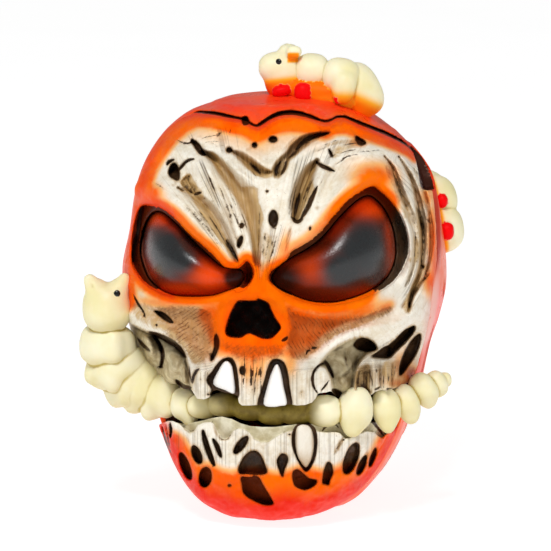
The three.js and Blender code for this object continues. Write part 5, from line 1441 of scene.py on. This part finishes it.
# the walls of the eye sockets are painted dark brown: painted socket shadow
socket_shade = ss(0.4, -2.4, sock) * ss(-0.5, -2.6, d - sample(HGT, u, v))
socket_shade = socket_shade * (1 - ss(284, 291, v) * ss(250, 236, u) * ss(150, 164, u)) * (1 - ss(284, 292, v) * ss(286, 300, u) * ss(384, 368, u))
dark = np.maximum(sample(DARK, u, v) * vis, socket_shade * 0.92)
dark = np.maximum(dark, ss(0.4, -1.0, sample(SD_POCKET, u, v)) * ss(0.0, 0.06, nv))
dark = np.maximum(dark, ss(-7.0, -9.0, d))
face = make_object("face_shell_sculpt", V, Q, {
    "m_orange": np.maximum(sample(ORANGE, u, v), ss(0.16, 0.02, nv) * ss(72, 78, V[:, 2])), "m_red": np.maximum(sample(RED, u, v), 0.3 * ss(0.08, 0.0, nv) * ss(72, 78, V[:, 2])),
    "m_wash": np.clip(sample(WASH, u, v), 0, 1) * vis, "m_dark": np.clip(dark, 0, 1), "m_gum": np.zeros(len(V)), "m_stone": sample(STONE, u, v) * vis, "m_grain": grain(u, v),
    "m_fine": sample(FINE, u, v) * vis, "m_tan": sample(TAN, u, v) * vis, "m_hatch": sample(HATCH, u, v) * vis, "m_line": np.where(u < 256, 0.555 * u + 0.832 * v, 0.832 * u - 0.555 * v), "m_black": np.maximum(ss(0.5, -1.0, sample(SD_N, u, v)) * ss(-0.6, -2.0, d), ss(-0.5, -2.0, sample(SD_POCKET, u, v)) * ss(0.0, 0.06, nv))})
finish_piece(face, MAT_FACE, "face_shell", "bone_resin")

# lower jaw
V, Q = mesh_field(jaw_field, (-48, -56, -2), (48, -4, 44), H_JAW, lambda D: (D > -10.5) & (D < 4.5))
V, Q = largest(V, Q)
u, v, d, nv = paint_at(V)
V, Q = lighten(V, Q, 160000, (nv < -0.08) | (d < -5.0))
u, v, d, nv = paint_at(V)
vis = ss(-0.25, 0.0, nv)
gum = ss(-2.6, -3.2, d) * ss(-6.5, -5.0, d) * ss(446, 442, v)
jv = sample(JAW_ORANGE, u, v)
jr = np.maximum(sample(JAW_RED, u, v), ss(0.0, -0.2, nv))
jaw = make_object("lower_jaw_sculpt", V, Q, {
    "m_orange": jv, "m_red": jr,
    "m_wash": np.clip(sample(WASH, u, v), 0, 1) * vis * (1 - 0.5 * jr), "m_dark": np.clip(sample(DARK, u, v) * vis + ss(-6.0, -8.0, d), 0, 1), "m_gum": gum, "m_stone": np.zeros(len(V)), "m_grain": grain(u, v),
    "m_fine": sample(FINE, u, v) * vis, "m_tan": sample(TAN, u, v) * vis, "m_hatch": np.zeros(len(V)), "m_line": u, "m_black": np.zeros(len(V))})
finish_piece(jaw, MAT_FACE, "lower_jaw", "jaw_resin")

# rear hood
V, Q = mesh_field(hood_field, (-60, -48, -2), (60, 66, 144), H_HOOD, lambda D: (D > -6.5) & (D < 4.5))
V, Q = lighten(*largest(V, Q), 180000)
u, v, d, nv = paint_at(V)
vis = ss(0.0, 0.15, nv)
side = split_side(V, u, v)
edge = side / MMPX
z = V[:, 2]
back = ss(5.0, 9.0, side)
# on the back the orange toward the top is a painted highlight, and the darker red toward the bottom (m_red) is painted
# shade
org = 0.55 * ss(8.0, 1.5, edge) * vis + 1.0 * ss(420, 430, u) * ss(170, 190, v) * ss(305, 275, v) * vis + 0.55 * ss(0.45, 0.7, noise3(V / 30.0, 11)) + 0.5 * ss(118, 134, z) * back
hood = make_object("rear_shell_sculpt", V, Q, {
    "m_orange": np.clip(org, 0, 1), "m_red": np.maximum(0.6 * ss(26.0, 4.0, z + 8 * noise3(V / 12.0, 4)) * back, 0.7 * ss(9.0, 2.0, side) * ss(78, 88, z) * ss(30, 40, V[:, 0])),
    "m_pale": 0.75 * ss(30.0, 42.0, V[:, 0]) * ss(11.0, 1.5, side) * ss(52, 60, z) * ss(86, 74, z) + 1.0 * ss(-30.0, -42.0, V[:, 0]) * ss(12.0, 4.0, side) * ss(44, 50, z) * ss(76, 70, z),
    "m_wash": np.clip(0.8 * ss(2.0, 0.5, edge) * vis * ss(275, 235, v) * ss(412, 400, u) + 0.6 * back_at(BACK_W, V) * back + 0.4 * ss(7.0, 0.5, side) * ss(80, 88, z) * ss(106, 100, z) * ss(34, 42, V[:, 0]), 0, 1),
    "m_dark": np.clip(sample(DARK, u, v) * vis * ss(17, 12, np.abs(edge)) * (1 - beside(V)) + ss(-1.2, -2.2, d - back_at(BACK_H, V) * back) + back_at(BACK_D, V) * back + ss(0.6, -1.0, sample(SD_POCKET, u, v)) * ss(0.0, 0.06, nv), 0, 1)})
finish_piece(hood, MAT_HOOD, "rear_shell", "rind_resin")

# eyes
for side, sdm, blobs, smoke, lo, hi in (
        ("left", SD_DL, ((209, 277, 20, 15, 1.0), (162, 218, 18, 9, 1.0), (182, 290, 46, 9, 0.55), (150, 266, 8, 26, 0.4), (176, 228, 14, 8, 0.6)), ((168, 251, 27, 27), (180, 258, 18, 17)), (-56, -56, 70), (8, 0, 114)),
        ("right", SD_DR, ((368, 208, 24, 12, 1.0), (390, 240, 6, 30, 0.75), (316, 270, 20, 16, 0.55), (350, 294, 40, 9, 0.4), (336, 226, 18, 12, 0.4)), ((363, 250, 29, 33), (344, 270, 25, 22)), (-4, -56, 70), (58, 0, 122))):
    V, Q = mesh_field(dome_field(sdm), lo, hi, 0.42, lambda D: (D > -13.5) & (D < 3.0))
    V, Q = largest(V, Q)
    u, v, d, nv = paint_at(V)
    glow = np.zeros(len(V))
    for cx, cy, rx, ry, k in blobs:
        glow = np.maximum(glow, k * np.exp(-(((u - cx) / rx) ** 2 + ((v - cy) / ry) ** 2)))
    sm = np.zeros(len(V))
    for cx, cy, rx, ry in smoke:
        r = np.sqrt(((u - cx) / rx) ** 2 + ((v - cy) / ry) ** 2)
        sm = np.maximum(sm, ss(1.4, 0.45, r))
    sd = sample(sdm, u, v)
    tip = 0.9 * ss(1.25, 0.7, np.hypot((u - 236) / 12, (v - 278) / 11)) if side == "left" else 0.9 * ss(1.5, 0.4, np.hypot((u - 280) / 20, (v - 280) / 16))
    tip = np.maximum(tip, 0.55 * ss(1.6, 0.5, np.hypot((u - (120 if side == "left" else 318)) / 36, (v - (300 if side == "left" else 297)) / 9)))
    # a thin pale line along part of the dome's edge, a painted highlight
    rim = ss(-2.6, -1.5, sd) * ss(0.2, -0.8, sd) * (ss(160, 146, u) * ss(238, 250, v) if side == "left" else 0.5 * ss(384, 391, u) * ss(215, 230, v))
    ob = make_object("eye_dome_%s_lens" % side, V, Q, {"m_rim": 0.8 * rim, "m_glow": glow, "m_smoke": sm, "m_dark": np.clip(ss(-6.0, 0.0, sd) * 0.7 * ss(272, 255, v + 0.25 * np.abs(u - (180 if side == "left" else 340))) + tip, 0, 1)})
    finish_piece(ob, MAT_EYE, "eye_dome_" + side, "smoky_lens")

# inset teeth
for name, pts, sink, bul, mat, slot_name in (
        ("upper_tooth_left", [(225, 361), (231, 364), (233.5, 373), (235, 393), (225, 390), (213, 384), (218, 371)], 1.6, 1.3, MAT_TOOTH, "white_tooth"),
        ("upper_tooth_right", [(277, 364), (281, 372), (284, 388), (287, 403.5), (280, 406), (272, 407), (263.5, 404), (267, 387), (272, 371)], 1.6, 1.3, MAT_TOOTH, "white_tooth"),
        ("lower_tooth", [(297, 427.5), (303, 424.5), (310, 427), (313.5, 436), (314, 447), (311.5, 459), (306, 467.5), (300, 461), (296, 451), (295, 438)], 1.6, 1.5, MAT_OLD_TOOTH, "old_tooth")):
    P = np.array([at_depth(a, b, -50.0) for a, b in pts])
    lo, hi = P.min(0) - (3, 4, 3), P.max(0) + (3, 8, 3)
    lo[1], hi[1] = -56, -38
    V, Q = mesh_field(tooth_field(pts, sink, bul), lo, hi, 0.34, lambda D: (D > -6.5) & (D < 2.5))
    V, Q = largest(V, Q)
    u, v, d, nv = paint_at(V)
    ob = make_object(name + "_inset", V, Q, {"m_wash": (np.clip(0.8 * ss(446, 466, v) + 0.55 * ss(5.5, 9.0, np.abs(u - 304.5)), 0, 1) if name == "lower_tooth" else np.zeros(len(V)))})
    finish_piece(ob, mat, name, slot_name)

# ============================================================== grubs
def egg_sd(L, r):
    """distance to an egg: radii ahead, behind, across, deep, in its own axes"""
    ra = np.where(L[..., 0] > 0, r[0], r[1])
    q = np.stack([L[..., 0] / ra, L[..., 1] / r[2], L[..., 2] / r[3]], -1)
    q2 = np.stack([L[..., 0] / (ra * ra), L[..., 1] / (r[2] * r[2]), L[..., 2] / (r[3] * r[3])], -1)
    n = 2.5
    k0 = (np.abs(q[..., 0]) ** n + np.hypot(q[..., 1], q[..., 2]) ** n) ** (1 / n)
    return k0 * (k0 - 1) / np.maximum(np.linalg.norm(q2, axis=-1), 1e-6)


def eggs_mesh(groups, h, k_in, k_out, cut=()):
    """groups of eggs: soft inside a group, a sharp crease between groups"""
    every = [e for g in groups for e in g]
    cs = np.array([e[0] for e in every])
    rs = np.array([max(e[1]) for e in every])
    org, n = grid_of((cs - rs[:, None]).min(0) - 2.0, (cs + rs[:, None]).max(0) + 2.0, h)
    ax = [org[j] + h * np.arange(n[j]) for j in range(3)]
    S = np.full(tuple(n), 6.0, np.float32)
    which = np.zeros(tuple(n), np.int16)

    def block(items, pad):
        lo = np.min([np.array(c) - max(r) for c, r, _ in items], 0) - pad
        hi = np.max([np.array(c) + max(r) for c, r, _ in items], 0) + pad
        sl = tuple(slice(max(int((lo[j] - org[j]) / h), 0), min(int((hi[j] - org[j]) / h) + 2, n[j])) for j in range(3))
        G = np.stack(np.meshgrid(*[ax[j][sl[j]] for j in range(3)], indexing="ij"), -1)
        out = None
        for c, r, R in items:
            sd = egg_sd((G - np.asarray(c)) @ np.asarray(R).T, np.asarray(r, float))
            out = sd if out is None else smin(out, sd, k_in)
        return sl, out

    for i, g in enumerate(groups):
        sl, sd = block(g, 3.0)
        which[sl] = np.where(sd < S[sl], i, which[sl])
        S[sl] = smin(S[sl], sd, k_out)
    for item in cut:
        sl, sd = block([item], 2.0)
        S[sl] = smax(S[sl], -sd, 0.5)
    V, Q = surface_nets(S, org, h)
    g = np.clip(np.round((V - org) / h).astype(int), 0, n - 1)
    return V, Q, which[tuple(g.T)]


def view_axes(deg):
    """axes in the view: along a direction (clockwise from right), across it, away"""
    a = math.radians(deg)
    t = CR * math.cos(a) - CU * math.sin(a)
    return np.stack([t, np.cross(CF, t), CF])


def egg(px, py, y, across, back, fwd, deg, deep=None):
    k = MMPX
    return (at_depth(px, py, y), (fwd * k, back * k, across * k, (deep or 0.94 * across) * k), view_axes(deg))


def ball(px, py, y, r, flat=1.0):
    return (at_depth(px, py, y), (r * MMPX, r * MMPX, r * MMPX * flat, r * MMPX), view_axes(90))


def frame_along(t, up=(0, 0, 1)):
    t = np.asarray(t, float)
    t = t / np.linalg.norm(t)
    s = np.cross(np.asarray(up, float), t)
    if np.linalg.norm(s) < 1e-3:
        s = np.cross((0, 1, 0), t)
    s /= np.linalg.norm(s)
    return np.stack([t, s, np.cross(t, s)])


def crease(V, Q):
    """how concave the surface is at each vertex, mm, and its normal"""
    e = np.concatenate([Q[:, [0, 1]], Q[:, [1, 2]], Q[:, [2, 3]], Q[:, [3, 0]]])
    e = np.concatenate([e, e[:, ::-1]])
    fn = np.cross(V[Q[:, 2]] - V[Q[:, 0]], V[Q[:, 3]] - V[Q[:, 1]])
    nrm = np.zeros_like(V)
    for k in range(4):
        np.add.at(nrm, Q[:, k], fn)
    nrm /= np.linalg.norm(nrm, axis=1, keepdims=True) + 1e-9
    cnt = np.bincount(e[:, 0], minlength=len(V))[:, None]
    W = V.copy()
    for _ in range(10):
        S = np.zeros_like(W)
        np.add.at(S, e[:, 0], W[e[:, 1]])
        W = S / np.maximum(cnt, 1)
    return ((W - V) * nrm).sum(1), nrm


# through the mouth, head first
groups = [
    [egg(107, 307.5, -27, 24, 24, 25, 90), egg(91, 283, -30, 6.2, 9, 11, 66, 4.6), egg(123.5, 281.5, -28, 5.4, 8.5, 9, 108, 4.4), egg(98, 290, -28, 8, 10, 10, 70), egg(118, 290, -27.5, 8, 10, 10, 110)],
    [egg(109, 347, -25, 27, 22, 20, 84), egg(88.5, 345, -26.5, 7.4, 18, 12, 94), egg(114, 350, -31.9, 7, 16, 11.5, 90, 6.6)],
    [egg(119, 368, -23.5, 29.5, 17, 18, 64), egg(93, 372, -25.5, 8.0, 18, 11.5, 100), egg(113, 377.5, -30.0, 7.4, 16, 14.5, 88, 7)],
    [egg(134.5, 381, -22.5, 28, 16, 16, 47), egg(114.5, 395.5, -25, 8.4, 18, 11.5, 66), egg(126, 394, -27.6, 7, 16, 11, 72, 6)],
    [egg(145, 386, -23.5, 25.5, 16, 14.5, 29), egg(132, 402.5, -25.5, 8.0, 18, 10.5, 80)],
    [egg(163, 394.5, -26, 21.5, 18, 18, 15), egg(149, 410, -27, 8.6, 16, 10.5, 72), egg(166, 408, -30.2, 7.5, 14, 9, 60)],
    [egg(187, 404, -33.5, 16.5, 16, 10.5, 6), egg(190, 415.5, -36, 7.0, 16, 11.5, 80)],
    [egg(206, 406, -38.5, 12.5, 18, 13, 0)], [egg(227, 404.5, -40, 12.5, 18, 13, 0)], [egg(250, 408, -40.5, 12.5, 18, 14, 5)], [egg(274, 412, -40.5, 13, 18, 14, 5)],
    [egg(298, 412, -40.5, 13, 18, 14, 0)], [egg(325, 411, -40, 15.5, 20, 16, 0)],
    [egg(355.5, 409, -36.5, 19.5, 17, 17, 0), egg(352.5, 424, -38.5, 9, 14, 12.5, 92), ball(358, 395.5, -37, 6.8)],
    [egg(386, 407.5, -27, 17.5, 14, 14.5, -8), egg(387.5, 421, -29, 7, 14, 12, 84), ball(384, 395.5, -27, 5.5)],
    [egg(406, 401.5, -20, 17.5, 12, 12, -26), egg(409.5, 413, -21, 6.6, 12, 11, 68)],
    [egg(423.5, 388.8, -14.5, 16.5, 12.5, 12.5, -36), egg(427, 399, -15, 5.6, 12, 9, 58)],
    [egg(436, 383, -11, 12.2, 11.5, 10.5, -32), egg(438.5, 389, -11, 4.6, 9, 6.5, 50)],
    [egg(444, 380, -8.5, 7.6, 10, 7.5, -6)]]
head_c = groups[0][0][0]
V, Q, wh = eggs_mesh(groups, 0.46, 2.6, 0.35, [egg(90.5, 282, -32.2, 3.0, 6, 7, 68, 3.0), egg(123, 282, -31.6, 2.8, 6, 7, 112, 3.0)])
cv, nrm = crease(V, Q)
u, v, _, _ = paint_at(V)
# inside the mouth the worm is painted darker olive, which is painted shadow; its undersides are darkened along with the
# creases, which is painted shade
mouth_shadow = ss(190, 240, u) * ss(326, 304, u)
underside_shade = ss(0.2, -0.8, nrm[:, 2])
worm = make_object("mouth_worm_sculpt", V, Q, {
    "m_crease": np.clip(ss(0.02, 0.3, cv) + 0.4 * underside_shade, 0, 1), "m_olive": np.clip(mouth_shadow * 0.85 + 0.25 * ss(186, 200, u) * ss(330, 310, u), 0, 1), "m_orange": np.zeros(len(V)), "m_red": np.zeros(len(V))})
finish_piece(worm, MAT_GRUB, "mouth_worm", "grub_resin")

# on the crown
groups = [
    [egg(283, 67, 2.5, 15.5, 16, 24, 180), egg(288.5, 54.5, 2.5, 10.5, 10.5, 11, 90, 11), egg(294, 52, -1.5, 6.2, 7.5, 7.5, 0, 4.6), egg(287, 51.5, 6.5, 6.5, 8, 8, 100, 3.6), egg(284, 76, 2.8, 20, 12, 24, 82, 15)],
    [egg(312, 70.5, 3.0, 17, 16.5, 17, 4)], [egg(340, 76, 2.0, 18, 17, 19, 8), egg(344, 82, -2.0, 12, 10, 22, 96, 10)], [egg(359.5, 90.5, 6.0, 21, 28, 28, 62)],
    [egg(281, 91, -2.3, 5.8, 9, 9.5, -12, 7)], [egg(303, 92, -2.6, 8.6, 9, 9, 90, 8)], [ball(279, 91, 8.5, 9)], [ball(303, 93, 9.0, 9)],
    [egg(333, 95, 3.2, 14, 48, 38, 10, 17)], [egg(336.5, 99, -4.6, 2.6, 5, 5, 80)]]
crown_head = groups[0][0]
V, Q, wh = eggs_mesh(groups, 0.42, 1.2, 0.3, [egg(293.5, 57.5, -4.4, 5.2, 5.5, 6.0, 0, 2.4)])
cv, nrm = crease(V, Q)
u, v, _, _ = paint_at(V)
foot = np.isin(wh, (4, 5, 6, 7, 9)).astype(float)
belly = np.zeros(len(V))
for k, m in ((0, ss(72, 86, v + 0.1 * (u - 281))), (1, 0.9 * ss(76, 90, v)), (2, 0.85 * ss(84, 104, v) + 0.5 * ss(78, 92, v) * ss(338, 326, u)), (3, 0.9 * ss(86, 108, v + 0.45 * (362 - u))), (8, 1.0 - 0.35 * ss(92, 101, v))):
    belly = np.where(wh == k, np.clip(m, 0, 1), belly)
red_neck = (wh == 0) * 0.75 * ss(80, 95, v - 0.2 * (u - 270))
inner = ss(8.0, 5.0, np.abs(u - 293.2) * 1.15) * ss(52.0, 53.6, v) * ss(64.0, 61.0, v) * (V[:, 1] < 1.5) * (wh == 0)
# creases are darkened as painted shade; the ear's hollow gets orange paint with some olive painted shade
worm = make_object("crown_worm_sculpt", V, Q, {
    "m_crease": np.clip(ss(0.03, 0.4, cv) * 0.8, 0, 1), "m_olive": 0.55 * inner,
    "m_orange": np.clip(belly * 0.95 + 0.75 * inner, 0, 1), "m_red": np.clip(np.maximum(foot, red_neck), 0, 1)})
finish_piece(worm, MAT_GRUB, "crown_worm", "grub_resin")

# on the right rear
SIDE = [((47.2, 26.5, 90.6), 8.9), ((45.2, 28.8, 100.4), 8.2), ((41.4, 38.5, 101.6), 7.3), ((34.5, 46.5, 101.6), 7.2), ((25.0, 52.5, 101.0), 7.6)]
FEET = [((51.8, 18.7, 91.5), 2.3), ((49.7, 21.6, 101.2), 1.8), ((45.4, 38.0, 96.6), 3.1), ((37.6, 46.6, 95.2), 3.1)]
groups = []
for i, (c, r) in enumerate(SIDE):
    t = np.subtract(SIDE[min(i + 1, 4)][0], SIDE[max(i - 1, 0)][0])
    groups.append([(np.array(c), (r * 0.92, r * 0.92, r * 1.03, r * 1.03), frame_along(t))])
for c in ((28.2, 55.2, 107.8), (21.0, 57.0, 107.6)):
    groups[-1].append((np.array(c), (3.6, 3.6, 2.2, 2.0), frame_along((0, 0.15, 1), (1, 0, 0))))
for c, r in FEET:
    groups.append([(np.array(c), (r, r, r, 1.3 * r), np.eye(3))])
V, Q, wh = eggs_mesh(groups, 0.5, 1.2, 0.3)
cv, nrm = crease(V, Q)
d = tri(BASE_D, V)
red = (wh >= len(SIDE)).astype(float)
# creases are darkened as painted shade
worm = make_object("side_worm_sculpt", V, Q, {
    "m_crease": np.clip(ss(0.03, 0.4, cv) * 0.8, 0, 1), "m_olive": np.zeros(len(V)),
    "m_orange": np.clip(ss(3.0, 0.8, d) * 0.8, 0, 1) * (1 - red), "m_red": red})
finish_piece(worm, MAT_GRUB, "side_worm", "grub_resin")


def dot(name, c, r, n):
    """small domed eye, half sunk in the head"""
    n = np.asarray(n, float) / np.linalg.norm(n)
    R = frame_along(n)
    V, Q, _ = eggs_mesh([[(np.asarray(c, float), (0.55 * r, 0.55 * r, r, r), R)]], 0.16, 0.1, 0.1)
    ob = make_object(name, V, Q)
    ob.data.materials.append(MAT_DOT)
    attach(ob, "skull")
    return ob


def near_point(px, py, e):
    """the near point of an egg under a pixel, and its normal there"""
    c, r, R = e
    d = CF + CR * ((px - 275.5) / FPX) - CU * ((py - 275.5) / FPX)
    d /= np.linalg.norm(d)
    t0 = (np.asarray(c) - CC) @ d
    ts = np.linspace(t0 - 12, t0, 2400)
    P = CC + ts[:, None] * d
    sd = egg_sd((P - c) @ np.asarray(R).T, np.asarray(r, float))
    p = P[int(np.argmax(sd < 0))]
    g = np.array([egg_sd(((p + k * 0.01 - c) @ np.asarray(R).T)[None], np.asarray(r, float))[0] for k in np.eye(3)])
    return p, g / np.linalg.norm(g)


p, n = near_point(117, 293.5, (head_c, tuple(x * MMPX for x in (25, 24.5, 24.5, 0.94 * 24.5)), view_axes(90)))
dot("mouth_worm_eye_near", p, 3.3 * MMPX, n)
dot("mouth_worm_eye_far", head_c + np.array([-5.6, 4.2, 3.9]), 3.3 * MMPX, (-0.72, 0.54, 0.5))
p, n = near_point(278.7, 61.6, crown_head)
dot("crown_worm_eye_near", p, 2.9 * MMPX, n)
dot("crown_worm_eye_far", crown_head[0] + np.array([-1.2, 4.6, 2.6]), 2.9 * MMPX, (-0.2, 0.9, 0.5))
dot("side_worm_eye_near", (29.0, 58.4, 103.4), 1.1, (0.5, 0.8, 0.3))
dot("side_worm_eye_far", (20.6, 58.5, 103.4), 1.1, (-0.5, 0.8, 0.3))

# ============================================================== carried-over parts
LOOKS = {"base_plate": MAT_BLACK, "battery_box": MAT_BLACK, "battery_door": MAT_BLACK, "switch_body": MAT_BLACK, "led_holder_left": MAT_BLACK, "led_holder_right": MAT_BLACK,
         "switch_slider": MAT_WHITE, "led_left": MAT_LED, "led_right": MAT_LED, "led_lead_left": MAT_LEAD, "led_lead_right": MAT_LEAD, "switch_lead": MAT_LEAD,
         "door_screw": MAT_STEEL, "contact_spring": MAT_STEEL, "contact_plate": MAT_STEEL,
         "button_cell_1": MAT_CELL, "button_cell_2": MAT_CELL, "button_cell_3": MAT_CELL}
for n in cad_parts:
    if n.startswith("base_screw"):
        LOOKS[n] = MAT_STEEL
    if n.startswith("foot_pad"):
        LOOKS[n] = MAT_PAD
for n, mat in LOOKS.items():
    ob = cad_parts[n]
    ob.data.materials.clear()
    ob.data.materials.append(mat)

# ============================================================== floor and light
me = bpy.data.meshes.new("floor")
s = 3.0
me.from_pydata([(-s, -s, 0), (s, -s, 0), (s, s, 0), (-s, s, 0)], [], [(0, 1, 2, 3)])
floor = bpy.data.objects.new("floor", me)
scene.collection.objects.link(floor)
fm = Nodes("pale_floor")
fm.set(Base_Color=fm.mix(fm.ramp(fm.noise(6, 2), 0.3, 0.7), srgb(168, 168, 168), srgb(165, 165, 165)), Roughness=0.9)
fm.bsdf.inputs["Specular IOR Level"].default_value = 0.0
fm.bsdf.inputs["Emission Color"].default_value = (1.0, 1.0, 1.0, 1.0)
fm.bsdf.inputs["Emission Strength"].default_value = 0.86
me.materials.append(fm.mat)

world = bpy.data.worlds.new("studio")
scene.world = world
world.use_nodes = True
world.node_tree.nodes["Background"].inputs[0].default_value = (1.0, 1.0, 1.0, 1.0)
world.node_tree.nodes["Background"].inputs[1].default_value = 0.3


def area(name, loc, target, size, power):
    L = bpy.data.lights.new(name, "AREA")
    L.shape = "RECTANGLE"
    L.size, L.size_y = size
    L.energy = power
    ob = bpy.data.objects.new(name, L)
    scene.collection.objects.link(ob)
    ob.location = loc
    d = Vector(target) - Vector(loc)
    ob.rotation_euler = d.to_track_quat("-Z", "Y").to_euler()
    return ob


area("key", (0.02, -0.72, 0.92), (0, 0, 0.08), (0.26, 0.2), 6.4)
area("left", (-0.9, -0.5, 0.5), (0, 0, 0.08), (0.6, 0.5), 1.5)
area("right", (0.9, -0.5, 0.45), (0, 0, 0.08), (0.6, 0.5), 1.5)
for o in ("left", "right"):
    bpy.data.objects[o].visible_glossy = False
scene.view_settings.view_transform = "Standard"
scene.view_settings.look = "None"
